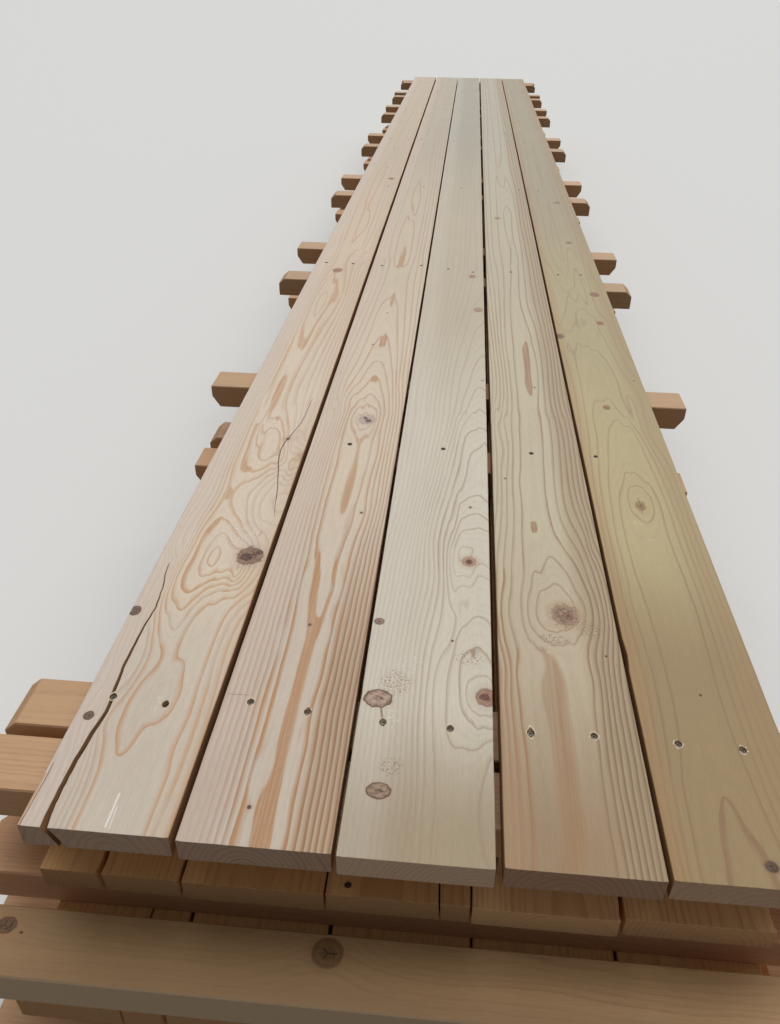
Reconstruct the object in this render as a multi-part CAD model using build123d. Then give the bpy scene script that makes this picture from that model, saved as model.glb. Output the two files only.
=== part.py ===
from build123d import *
import os

os.makedirs("parts", exist_ok=True)

# Timber sections, all in mm
board_width = 145
board_thickness = 28
batten_width = 70
batten_height = 45
board_arris = 1.2          # eased long edges of a planed board
batten_arris = 2
batten_end_bevel = 15      # sawn corner at both ends of a batten, on the boards' side
bevel_height_boards_up = 13
bevel_height_boards_down = 22

# One floor panel
panel_length = 6000
batten_length = 920
batten_bay = 939           # from one batten to the next
short_bay = 589            # the first bay of panels 1 and 5
regular_bays = 4
cleat_length = 590         # the top panel's second batten is a short one, hidden under boards 2 to 5
cleat_left = 156
split_overshoot = 1        # how far the cutter of a split stands out of the board

# The stack: panels lie in pairs, face to face, so that the battens of a pair share one layer
pair_height = 2 * board_thickness + batten_height

# Where each panel lies, measured from the near left corner of the top panel.
# near = its near end, left = its first board, gaps = between its five boards,
# ends = how far each board stands in or out at the near end,
# first and first_bay = its first batten and the way to the second, last_inset = last batten to far end
panels = [
    {"name": "panel_1", "near": 0, "left": 1, "gaps": (6, 4, 7, 4), "ends": (1, -1, -2.5, 0, 2),
     "first": 142, "first_bay": short_bay, "last_inset": 30, "batten_left": -91},
    {"name": "panel_2", "near": 58, "left": 6, "gaps": (5, 3, 6, 3), "ends": (0, 1.5, -1, 1, 0),
     "first": 58, "first_bay": batten_bay + 10, "last_inset": 0, "batten_left": -92},
    {"name": "panel_3", "near": 20, "left": -10, "gaps": (3, 1.5, 1.5, 4.5), "ends": (1, 0, 1, 0, 3),
     "first": 30, "first_bay": batten_bay + 12, "last_inset": 5, "batten_left": -100},
    {"name": "panel_4", "near": -73, "left": -8, "gaps": (3.5, 3.5, 2, 3), "ends": (0, 1, 0, 1.5, 0),
     "first": -73, "first_bay": batten_bay + 4, "last_inset": 0, "batten_left": -98},
    {"name": "panel_5", "near": -12, "left": 4, "gaps": (5, 4, 6, 4), "ends": (1, -1, 0, 1, -1),
     "first": 136, "first_bay": short_bay, "last_inset": 36, "batten_left": -92},
    {"name": "panel_6", "near": 46, "left": -4, "gaps": (4, 5, 3, 5), "ends": (0, 1, -1, 0, 1),
     "first": 46, "first_bay": batten_bay, "last_inset": 0, "batten_left": -97},
    {"name": "panel_7", "near": 30, "left": 0, "gaps": (4, 2, 3, 5), "ends": (-1, 0, 1, 0, 1),
     "first": 35, "first_bay": batten_bay, "last_inset": 5, "batten_left": -93},
    {"name": "panel_8", "near": -60, "left": -6, "gaps": (3, 4, 5, 3), "ends": (0, 1, 0, -1, 0),
     "first": -60, "first_bay": batten_bay, "last_inset": 0, "batten_left": -95},
]

# Open splits: panel, board, how far the split leans over to the right from top to underside,
# then its middle line on the top face from the near end inwards as
# (distance across the board, distance along it, width there)
splits = [
    ("panel_1", 1, 13, [(26.3, 0, 6.8), (24, 26, 4.7), (24.6, 57, 4.5), (25.4, 84, 4.6), (27.6, 112, 4.5),
                        (30.2, 128, 4.1), (31.4, 143, 3.8), (30.5, 158, 3.5), (28.6, 177, 3.3), (26.2, 208, 3),
                        (25.6, 240, 2.5), (26.8, 285, 1.8), (28.8, 316, 1.3), (25.3, 352, 1), (20, 380, 0.8),
                        (17.4, 408, 0.5)]),
    ("panel_3", 1, 3, [(62, 0, 6), (65, 180, 4.5), (60, 420, 2.5), (63, 640, 0.6)]),
    ("panel_3", 3, 2, [(114, 0, 2), (112, 110, 1.4), (113, 260, 0.6)]),
    ("panel_4", 1, 0, [(105, 0, 2.5), (103, 150, 1.8), (106, 330, 0.6)]),
]

# The origin is at the middle of the whole stack, on the floor
stack_height = pair_height * len(panels) // 2
near_most = min(p["near"] for p in panels)
far_most = max(p["near"] for p in panels) + panel_length
left_most = min(p["batten_left"] for p in panels)
right_most = max(p["batten_left"] for p in panels) + batten_length
middle_x = (left_most + right_most) / 2
middle_y = (near_most + far_most) / 2


def outline_of(points, plane, depth):
    """a flat outline pushed out to a solid"""
    return extrude(plane * make_face(Polyline(points, close=True)), depth)


def board(left, near, far, bottom):
    middle = Pos((left + board_width / 2), (near + far) / 2, bottom + board_thickness / 2)
    body = Box(board_width, far - near, board_thickness)
    body = chamfer(body.edges().filter_by(Axis.Y), board_arris)
    return middle * body


def split_in(panel_name, number, left, near, bottom):
    """the wedge of air of an open split, or None"""
    for name, which, lean, line in splits:
        if (name, which) == (panel_name, number):
            lean_each = lean / board_thickness
            start = left - lean_each * split_overshoot
            left_side = [(start + x - w / 2, near + y) for x, y, w in line]
            right_side = [(start + x + w / 2, near + y) for x, y, w in line]
            x, y, w = line[0]
            mouth = [(start + x + w / 2, near - split_overshoot), (start + x - w / 2, near - split_overshoot)]
            outline = Polyline(left_side + right_side[::-1] + mouth, close=True)
            face = Plane.XY.offset(bottom + board_thickness + split_overshoot) * make_face(outline)
            depth = board_thickness + 2 * split_overshoot
            way = Vector(lean_each, 0, -1)
            return extrude(face, depth * way.length, dir=way.normalized())
    return None


def batten(left, near, bottom, length, boards_up):
    """a batten with both end corners sawn off, at the top or at the bottom"""
    end = length
    bevel = batten_end_bevel
    side = batten_height - (bevel_height_boards_up if boards_up else bevel_height_boards_down)
    outline = [
        (0, 0), (end, 0), (end, side), (end - bevel, batten_height), (bevel, batten_height), (0, side),
    ]
    if not boards_up:
        outline = [(x, batten_height - z) for x, z in outline]
    body = outline_of(outline, Plane.XZ, -batten_width)
    body = chamfer(body.edges().filter_by(Axis.X), batten_arris)
    return Pos(left, near, bottom) * body


def batten_starts(panel):
    """where the battens of a panel begin, along its length"""
    second = panel["first"] + panel["first_bay"]
    starts = [panel["first"]] + [second + k * batten_bay for k in range(regular_bays + 1)]
    last = panel["near"] + panel_length - panel["last_inset"] - batten_width
    return starts + [(starts[-1] + last) / 2, last]


batten_rows = {}
for index, panel in enumerate(panels):
    pair = index // 2
    boards_up = index % 2 == 0
    pair_top = stack_height - pair * pair_height
    batten_bottom = pair_top - board_thickness - batten_height
    board_bottom = pair_top - board_thickness if boards_up else pair_top - pair_height
    left = panel["left"]
    for number in range(1, 6):
        near = panel["near"] + panel["ends"][number - 1]
        far = panel["near"] + panel_length - panel["ends"][5 - number]
        piece = board(left, near, far, board_bottom)
        gap = split_in(panel["name"], number, left, near, board_bottom)
        if gap is not None:
            piece = piece - gap
        piece = Pos(-middle_x, -middle_y, 0) * piece
        export_step(piece, "parts/" + panel["name"] + "_board_" + str(number) + ".step")
        if number < 5:
            left = left + board_width + panel["gaps"][number - 1]
    for row, start in enumerate(batten_starts(panel), 1):
        is_cleat = panel["name"] == "panel_1" and row == 2
        batten_left = cleat_left if is_cleat else panel["batten_left"]
        length = cleat_length if is_cleat else batten_length
        piece = batten(batten_left, start, batten_bottom, length, boards_up)
        piece = Pos(-middle_x, -middle_y, 0) * piece
        batten_rows.setdefault(row, []).append(piece)

# The first batten of every panel is one sub-part, the second of every panel the next, and so on
for row, pieces in batten_rows.items():
    export_step(Compound(children=pieces), "parts/batten_row_" + str(row) + ".step")
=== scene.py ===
import math
import random
import bpy
import numpy as np
from mathutils import Matrix, Vector, geometry, noise


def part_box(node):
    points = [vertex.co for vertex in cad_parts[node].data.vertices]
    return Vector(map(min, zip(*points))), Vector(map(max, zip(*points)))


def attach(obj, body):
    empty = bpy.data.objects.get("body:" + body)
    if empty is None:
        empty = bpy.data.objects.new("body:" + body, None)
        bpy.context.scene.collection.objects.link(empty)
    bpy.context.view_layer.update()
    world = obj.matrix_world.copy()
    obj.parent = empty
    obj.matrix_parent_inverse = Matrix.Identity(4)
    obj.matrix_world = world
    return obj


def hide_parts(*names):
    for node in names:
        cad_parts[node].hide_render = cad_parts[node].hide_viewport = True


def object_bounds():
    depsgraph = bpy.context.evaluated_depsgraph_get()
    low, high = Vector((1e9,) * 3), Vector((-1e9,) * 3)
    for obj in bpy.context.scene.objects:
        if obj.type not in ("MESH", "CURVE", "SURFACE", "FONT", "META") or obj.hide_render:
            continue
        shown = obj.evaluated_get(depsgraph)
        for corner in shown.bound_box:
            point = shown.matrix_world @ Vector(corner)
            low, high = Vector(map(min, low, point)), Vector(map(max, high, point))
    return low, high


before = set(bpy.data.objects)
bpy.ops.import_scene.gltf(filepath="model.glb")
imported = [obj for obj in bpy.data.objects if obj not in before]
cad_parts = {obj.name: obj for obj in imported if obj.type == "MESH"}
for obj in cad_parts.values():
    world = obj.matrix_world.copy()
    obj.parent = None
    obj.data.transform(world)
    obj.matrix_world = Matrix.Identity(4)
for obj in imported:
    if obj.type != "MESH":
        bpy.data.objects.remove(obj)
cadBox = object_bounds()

mm = 0.001
print("frame loaded")


# camera, solved from the edges of the boards

camera = {
    "place": (0.0169, -3.4322, 1.0759),             # metres
    "down": 33.873, "turn": 4.577, "roll": 0.776,   # degrees
    "lens": 28.89, "sensor": 36.0, "farthest": 1500.0,
}


def addToScene(name, data):
    obj = bpy.data.objects.new(name, data)
    bpy.context.scene.collection.objects.link(obj)
    return obj


def addCamera(c):
    data = bpy.data.cameras.new("camera")
    data.sensor_width = c["sensor"]
    data.lens = c["lens"]
    data.clip_end = c["farthest"]
    obj = addToScene("camera", data)
    pitch, yaw, roll = (math.radians(c[k]) for k in ("down", "turn", "roll"))
    ahead = Vector((-math.sin(yaw) * math.cos(pitch), math.cos(yaw) * math.cos(pitch), -math.sin(pitch)))
    side = Vector((math.cos(yaw), math.sin(yaw), 0.0))
    above = side.cross(ahead)
    right = math.cos(roll) * side + math.sin(roll) * above
    up = -math.sin(roll) * side + math.cos(roll) * above
    turn = Matrix((right, up, -ahead)).transposed()
    obj.matrix_world = Matrix.Translation(Vector(c["place"])) @ turn.to_4x4()
    bpy.context.scene.camera = obj


addCamera(camera)


# shader maths: a wrapped socket that takes + - * / and a tree that adds any node

def srgb(colour):      # 0 to 255 as seen, to the linear values that the nodes take
    shares = [c / 255.0 for c in colour]
    return (*[c / 12.92 if c <= 0.04045 else ((c + 0.055) / 1.055) ** 2.4 for c in shares], 1.0)


class Value:
    def __init__(self, tree, socket):
        self.tree = tree
        self.socket = socket

    def op(self, name, *more):
        return self.tree.calc(name, self, *more)

    def __add__(self, o): return self.tree.calc("ADD", self, o)
    def __radd__(self, o): return self.tree.calc("ADD", o, self)
    def __sub__(self, o): return self.tree.calc("SUBTRACT", self, o)
    def __rsub__(self, o): return self.tree.calc("SUBTRACT", o, self)
    def __mul__(self, o): return self.tree.calc("MULTIPLY", self, o)
    def __rmul__(self, o): return self.tree.calc("MULTIPLY", o, self)
    def __truediv__(self, o): return self.tree.calc("DIVIDE", self, o)
    def __rtruediv__(self, o): return self.tree.calc("DIVIDE", o, self)
    def __pow__(self, o): return self.tree.calc("POWER", self, o)


class Tree:
    def __init__(self, owner):      # owner: a new material or world
        self.owner = owner
        owner.use_nodes = True
        self.nodes = owner.node_tree.nodes
        self.links = owner.node_tree.links
        self.nodes.clear()

    def node(self, kind, settings, sockets):
        made = self.nodes.new(kind)
        for key, value in settings.items():
            setattr(made, key, value)
        for key, value in sockets.items():
            if isinstance(value, Value):
                self.links.new(value.socket, made.inputs[key])
            elif value is not None:
                made.inputs[key].default_value = value
        return made

    def get(self, kind, settings, sockets, output=0):
        return Value(self, self.node(kind, settings, sockets).outputs[output])

    def calc(self, name, *values):
        return self.get("ShaderNodeMath", {"operation": name}, dict(enumerate(values)))

    def vector(self, x, y, z):
        return self.get("ShaderNodeCombineXYZ", {}, {0: x, 1: y, 2: z})

    def noise(self, place, detail=2.0, rough=0.5):
        return self.get("ShaderNodeTexNoise", {"noise_dimensions": "3D"},
                        {"Vector": place, "Scale": 1.0, "Detail": detail, "Roughness": rough})

    def noiseLine(self, along, detail=1.0):
        return self.get("ShaderNodeTexNoise", {"noise_dimensions": "1D"},
                        {"W": along, "Scale": 1.0, "Detail": detail})

    def chance(self, key):
        return self.get("ShaderNodeTexWhiteNoise", {"noise_dimensions": "1D"}, {"W": key}, "Value")

    def step(self, value, low, high):
        return self.get("ShaderNodeMapRange", {"interpolation_type": "SMOOTHSTEP"},
                        {"Value": value, "From Min": low, "From Max": high})

    def mix(self, share, a, b, how="MIX"):      # three plain numbers are a colour as seen, 0 to 255
        a, b = (srgb(c) if isinstance(c, tuple) and len(c) == 3 else c for c in (a, b))
        return self.get("ShaderNodeMix", {"data_type": "RGBA", "blend_type": how}, {0: share, 6: a, 7: b}, 2)

    def split(self, vector):
        parts = self.node("ShaderNodeSeparateXYZ", {}, {0: vector}).outputs
        return [Value(self, parts[k]) for k in range(3)]

    def attribute(self, name):
        return self.get("ShaderNodeAttribute", {"attribute_name": name}, {}, "Vector")

    def where(self, which):
        return self.split(self.get("ShaderNodeTexCoord", {}, {}, which))

    def bump(self, height, strength, distance):
        return self.get("ShaderNodeBump", {}, {"Strength": strength, "Distance": distance, "Height": height})

    def close(self, kind, shader):
        self.links.new(shader.outputs[0], self.node(kind, {}, {}).inputs[0])
        return self.owner

    def finish(self, colour, roughness, normal, specular=0.35, metallic=None):
        return self.close("ShaderNodeOutputMaterial", self.node("ShaderNodeBsdfPrincipled", {}, {
            "Base Color": colour, "Roughness": roughness, "Metallic": metallic, "Normal": normal,
            "Specular IOR Level": specular}))


# light and floor

studio = {
    "world": (0.93, 0.96, 1.0), "worldPower": 0.22, "worldSeen": (0.80, 0.80, 0.79),
    "keyHigh": 54.0, "keySide": 5.0, "keySoft": 70.0,      # degrees; the key comes from behind, a little right
    "keyPower": 2.6, "keyColour": (1.0, 0.985, 0.96),
    "floorSeen": (0.78, 0.78, 0.77), "floorBounce": (0.30, 0.28, 0.26), "floorSize": 1600.0, "floorDrop": 0.0005,
}


def addKey(s):
    data = bpy.data.lights.new("key", "SUN")
    data.energy = s["keyPower"]
    data.angle = math.radians(s["keySoft"])
    data.color = s["keyColour"]
    high, side = math.radians(s["keyHigh"]), math.radians(s["keySide"])
    towards = Vector((math.sin(side) * math.cos(high), math.cos(side) * math.cos(high), math.sin(high)))
    addToScene("key", data).rotation_euler = (-towards).to_track_quat("-Z", "Y").to_euler()


def seenMix(t, bounced, seen):      # one colour for the light that bounces, another for what the camera sees
    ray = t.get("ShaderNodeLightPath", {}, {}, "Is Camera Ray")
    return t.mix(ray, (*bounced, 1.0), (*seen, 1.0))


def addStage(s):
    addKey(s)
    bpy.context.scene.world = bpy.data.worlds.new("studio")
    t = Tree(bpy.context.scene.world)
    sky = seenMix(t, [c * s["worldPower"] for c in s["world"]], s["worldSeen"])
    t.close("ShaderNodeOutputWorld", t.node("ShaderNodeBackground", {}, {"Color": sky}))
    t = Tree(bpy.data.materials.new("floor"))
    half = s["floorSize"] / 2
    mesh = bpy.data.meshes.new("floor")
    mesh.from_pydata([(-half, -half, 0), (half, -half, 0), (half, half, 0), (-half, half, 0)], [], [(0, 1, 2, 3)])
    mesh.materials.append(t.finish(seenMix(t, s["floorBounce"], s["floorSeen"]), 0.9, None, 0.1))
    floor = addToScene("floor", mesh)
    floor.location = (0, 0, -s["floorDrop"])


addStage(studio)
bpy.context.scene.view_settings.view_transform = "Standard"
print("camera, light and floor")


# knots: places are mm on the board's face, the rest are shares of the knot's size

knotPlain = {
    "rag": 0.35, "halo": 1.9, "haloAmount": 0.35, "haloColour": (178, 134, 92), "dark": (92, 62, 44), "rings": 16.0,
    "amount": 0.9, "edge": 0.7, "edgeWide": 0.13, "cracks": 0.8, "coreWide": 0.55,
}
knotDead = {
    "colour": (184, 154, 134), "dark": (112, 80, 62), "edge": 0.9, "edgeWide": 0.11, "halo": 1.4, "haloAmount": 0.25,
    "cracks": 0.7, "coreWide": 1.0, "rings": 9.0, "rag": 0.3,
}
knotHeart = {"edge": 0.0, "cracks": 1.0, "coreWide": 1.0, "rag": 0.9, "halo": 1.3}      # the dark core inside a knot
knotPin = {
    "rag": 0.5, "colour": (70, 42, 28), "dark": (62, 38, 26), "halo": 2.8, "haloAmount": 0.3,
    "haloColour": (172, 122, 86), "edge": 0.0, "cracks": 0.0,
}
knotTones = ("colour", "dark", "haloColour")
knotNumbers = (("edge", "edgeWide", "rag"), ("cracks", "coreWide", "rings"), ("halo", "haloAmount", "amount"))


def knot(u, v, size, long=1.25, kind={}, **more):
    return {**knotPlain, **kind, "at": (u, v), "size": size, "long": long, **more}


def pin(u, v, size):      # a pin knot or an old nail hole
    return knot(u, v, size * 0.9, 1.2, knotPin)


def plainKnot(u, v, k):
    du, dv = (u - k["at"][0]) / k["size"], (v - k["at"][1]) / (k["size"] * k["long"])
    return {**k, "du": du, "dv": dv, "off": 0.0}


def netKnot(t, layer):      # reads back what writeKnots put on the board's net
    du, dv, off = t.split(t.attribute("knotPlace%d" % layer))
    k = {"du": du, "dv": dv, "off": off}
    for key in knotTones:
        k[key] = t.attribute("%s%d" % (key, layer))
    for keys in knotNumbers:
        k.update(zip(keys, t.split(t.attribute("%s%d" % (keys[0], layer)))))
    return k


def writeVectors(mesh, key, values):
    layer = mesh.attributes.get(key) or mesh.attributes.new(key, "FLOAT_VECTOR", "POINT")
    layer.data.foreach_set("vector", np.asarray(values, float).ravel())


def writeKnots(mesh, places, knots):
    # each point of the net keeps its nearest knot; a knot that lies inside another goes to the second layer
    p = np.array(places, float)
    layers = [[], []]
    for k in knots:
        apart = [math.dist(k["at"], o["at"]) > (k["size"] + o["size"]) * 1.3 for o in layers[0]]
        layers[0 if all(apart) else 1].append(k)
    for number, layer in enumerate(layers):
        layer = layer or [knot(-900, 0, 1.0, colour=(0, 0, 0))]      # none: one out of reach
        du = np.stack([(p[:, 0] - k["at"][0]) / k["size"] for k in layer])
        dv = np.stack([(p[:, 1] - k["at"][1]) / (k["size"] * k["long"]) for k in layer])
        far = np.hypot(du, dv)
        best, row = far.argmin(0), np.arange(len(p))
        reach = np.array([max(k["halo"], 1.2) + 0.6 for k in layer])
        off = np.where(far[best, row] < reach[best], 0.0, 9.0)
        writeVectors(mesh, "knotPlace%d" % number, np.stack([du[best, row], dv[best, row], off], 1))
        for key in knotTones:
            writeVectors(mesh, "%s%d" % (key, number), np.array([srgb(k[key])[:3] for k in layer])[best])
        for keys in knotNumbers:
            writeVectors(mesh, "%s%d" % (keys[0], number), np.array([[k[key] for key in keys] for k in layer])[best])


# timber: one recipe for all wood, told apart by what each piece's dictionary says

woodPlain = {      # for what a piece's dictionary leaves out
    "figureWide": 1.5, "figureFade": 0.0, "flecks": 0.25, "alongY": True,
    "endDark": (146, 115, 95), "endPale": (194, 164, 140), "endLift": 0.0,
    "paintedLightZones": [], "bands": [], "knots": [], "torn": [], "lines": [],
}
woodNoise = {      # mm across and up, mm along, octaves, roughness
    "fine": (9.0, 70.0, 2.0, 0.5), "streak": (3.2, 260.0, 3.0, 0.6), "fibre": (1.1, 16.0, 2.0, 0.65),
    "cloud": (60.0, 240.0, 1.0, 0.5), "fleck": (0.8, 7.0, 1.0, 0.5),
}
woodMarks = {      # colours that all wood shares
    "fleck": (150, 116, 84), "knotEdge": (84, 52, 36), "knotCrack": (52, 32, 22), "endRing": (132, 96, 70),
    # the two gap colours are painted shade for the board edges inside the gaps
    # the two split colours are the torn wood's brown, darkened as painted shade inside the splits
    "gapShadeDark": (112, 76, 48), "gapShadePale": (168, 124, 86), "splitDark": (96, 66, 40), "splitPale": (158, 120, 82),
}
woodBump = {"strength": 0.5, "distance": 0.00035}
ringSpec = {
    "slowLong": 800.0, "slowUpLong": 600.0,         # mm: how slowly the pith wanders across and up
    "waveWide": 42.0,                               # mm: the waves that bend the rings
    "reach": 2.3,                                   # of a knot's push, in knot sizes
    "uneven": 1.1, "unevenCount": 0.37,             # rings drift apart and together, over about three rings
    "weakest": 0.35, "full": 0.93, "sharp": 0.94,   # a ring darkens up to full and ends after sharp
}
lineSpec = {
    "jitter": 2.4, "broad": (6.5, 11.0),            # mm: between these widths a line turns into a filled band
    "longest": 0.85, "curve": 1.4,                  # how much of its ring a line may take, how it darkens
    "soft": (0.9, 0.16),                            # its sharp side: by the slope, and at most
    "bandLong": 0.42, "bandFlat": 0.22, "bandSoft": 0.08,
    "streaks": (0.40, 0.66), "streakAmount": 0.34,  # bands are broken by streaks
    "fade": (250.0, 800.0),                         # mm from the near end
    "strong": (0.42, 0.8),                          # force: between these a line takes the full late colour
    "faintCount": 3.0, "faint": 0.10,               # weak lines between the drawn ones
}


def band(start, full, amount, colour, late=None, until=None):
    # a tint over part of the width, from start to full; until: where it has faded out along the board. On a top board,
    # a band with an until darkens the near end: partly the wood's own stripes, partly painted shade
    return {"start": start, "full": full, "amount": amount, "colour": colour, "late": late or colour, "until": until}


def tear(u, v, wide, long, amount, colour, dash="round"):      # little torn-out dashes beside a knot
    return {"at": (u, v), "wide": wide, "long": long, "amount": amount, "colour": colour, "dash": dash}


def scratch(*path, **more):      # a fine crack or stain in a few straight legs
    return {"path": path, "wander": 1.0, "amount": 0.8, "deep": 2.0, **more}


def grainNoise(t, place, name, across=None, along=None):
    wide, long, detail, rough = woodNoise[name]
    x, y, z = place[0] / wide, place[1] / long, place[2] / wide
    x = x if across is None else x + across
    y = y if along is None else y + along
    return t.noise(t.vector(x, y, z), detail, rough)


def ownRings(t, w, place, seed, spread, wave, fine):      # year rings round the pith
    u, v, h = place
    s = ringSpec
    slow = t.noiseLine(v / s["slowLong"] + seed * 9.0, 0.0) - 0.5
    slowUp = t.noiseLine(v / s["slowUpLong"] + seed * 5.0 + 31.0, 0.0) - 0.5
    across = u - w["pith"][0] + slow * w["driftU"]
    depth = h - w["pith"][1] + slowUp * w["rise"]
    ring = (across * across + depth * depth).op("SQRT")
    ring = ring + (wave - 0.5) * w["wave"] + (fine - 0.5) * w["shake"]
    for k in w["knots"]:
        if "push" in k:      # the knot pushes the rings aside
            du, dv = u - k["at"][0], (v - k["at"][1]) / k["long"]
            push = ((du * du + dv * dv) * (-0.5 / (k["size"] * s["reach"]) ** 2)).op("EXPONENT")
            ring = ring + push * (k["size"] * k["push"])
    turn = ring / (w["spacing"] * (0.75 + 0.5 * spread))
    turn = turn + (t.noiseLine(turn * s["unevenCount"] + seed * 4.0) - 0.5) * s["uneven"]
    part = turn.op("FRACT")
    strength = s["weakest"] + (1.0 - s["weakest"]) * t.chance(turn.op("FLOOR") + seed * 13.0)
    late = t.step(part, w["soft"], s["full"]) * (1.0 - t.step(part, s["sharp"], 1.0))
    return late * strength * w["contrast"]


def drawnRings(t, w, v, fine, streak, fibre):      # the lines of the figure, and the colour they have
    s = lineSpec
    ring, slope, wide = t.split(t.attribute("figure"))
    force = t.split(t.attribute("mark"))[0]
    ring = ring + (fine - 0.5) * slope * s["jitter"]
    part = ring.op("FRACT")
    broad = t.step(wide, *s["broad"])      # a broad band is filled, a fine line only leans on its ring
    start = 1.0 - (wide * slope * w["figureWide"]).op("MINIMUM", s["longest"]).op("MAXIMUM", broad * s["bandLong"])
    sharp = 1.0 - (slope * s["soft"][0]).op("MINIMUM", s["soft"][1]) - broad * s["bandSoft"]
    rise = ((part - start) / (sharp - broad * s["bandFlat"] - start)).op("MAXIMUM", 0.0).op("MINIMUM", 1.0)
    face = rise ** s["curve"] * (1.0 - t.step(part, sharp, 1.0)) * force
    face = face * (1.0 - t.step(v, *s["fade"]) * w["figureFade"])
    face = (face * (0.85 + 0.4 * fibre) * w["figureAmount"]).op("MINIMUM", 1.0)
    face = face * (1.0 - broad * t.step(streak, *s["streaks"]) * s["streakAmount"])
    faint = ((ring * s["faintCount"]).op("FRACT") - 0.5).op("ABSOLUTE") * 2.0
    tone = t.mix(t.step(force, *s["strong"]).op("MAXIMUM", broad), w["lateFine"], w["late"])
    return face + faint * faint * s["faint"], tone


def addKnots(t, knots, ragged, cracked, colour, relief):
    for k in knots:
        near = (k["du"] * k["du"] + k["dv"] * k["dv"]).op("SQRT") + ragged * k["rag"] + k["off"]
        inside = 1.0 - t.step(near, 0.86, 1.02)
        halo = 1.0 - t.step(near, 0.9, k["halo"])
        rings = (near * k["rings"]).op("SINE") * 0.35 + 0.35
        edge = 1.0 - t.step((near - 0.97).op("ABSOLUTE"), 0.03, k["edgeWide"])
        torn = cracked * (1.0 - t.step(near, 0.15, k["coreWide"]))
        colour = t.mix(halo * k["haloAmount"], colour, k["haloColour"])
        colour = t.mix(inside * k["amount"], colour, t.mix(rings + ragged * 2.4, k["colour"], k["dark"]))
        colour = t.mix(edge * k["edge"], colour, woodMarks["knotEdge"])
        colour = t.mix(torn * k["cracks"], colour, woodMarks["knotCrack"])
        relief = relief + inside * 0.5 - torn * 1.5 - edge * 0.4
    return colour, relief


def addTears(t, tears, u, v, colour, relief):
    dashes = {}
    if tears:
        dashes["long"] = t.noise(t.vector(u / 1.6, v / 4.5, 7.0), 1.0)
        dashes["round"] = t.noise(t.vector(u / 2.2, v / 2.4, 9.0), 1.0)
    for s in tears:
        du, dv = (u - s["at"][0]) / s["wide"], (v - s["at"][1]) / s["long"]
        near = (du * du + dv * dv).op("SQRT")
        spots = t.step(dashes[s["dash"]], 0.56, 0.62) * (1.0 - t.step(near, 0.55, 1.05))
        colour = t.mix(spots * s["amount"], colour, s["colour"])
        relief = relief - spots * 1.0
    return colour, relief


def addCrack(t, crack, v, seed, colour, relief):      # the long crack, by the distances that writeFigure left
    off, wide = t.split(t.attribute("mark"))[1:]
    rag = (t.noise(t.vector(v / 9.0, 5.0, seed), 3.0, 0.6) - 0.5) * 1.6
    line = (1.0 - t.step((off + rag).op("ABSOLUTE"), wide * 0.45, wide + 0.12)) * t.step(wide, 0.05, 0.2)
    return t.mix(line * 0.9, colour, crack["colour"]), relief - line * 2.5


def addScratches(t, scratches, u, v, ragged, colour, relief):
    for s in scratches:
        mask = None
        for (u0, v0), (u1, v1) in zip(s["path"], s["path"][1:]):
            long = math.hypot(u1 - u0, v1 - v0)
            eu, ev = (u1 - u0) / long, (v1 - v0) / long
            run = (u - u0) * eu + (v - v0) * ev
            off = ((u - u0) * ev - (v - v0) * eu + ragged * s["wander"]).op("ABSOLUTE")
            leg = (1.0 - t.step(off, s["wide"] * 0.4, s["wide"])) * t.step(run, -1.0, 1.0)
            leg = leg * (1.0 - t.step(run, long - 1.0, long + 1.0))
            mask = leg if mask is None else mask.op("MAXIMUM", leg)
        colour = t.mix(mask * s["amount"], colour, s["colour"])
        relief = relief - mask * s["deep"]
    return colour, relief


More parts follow.
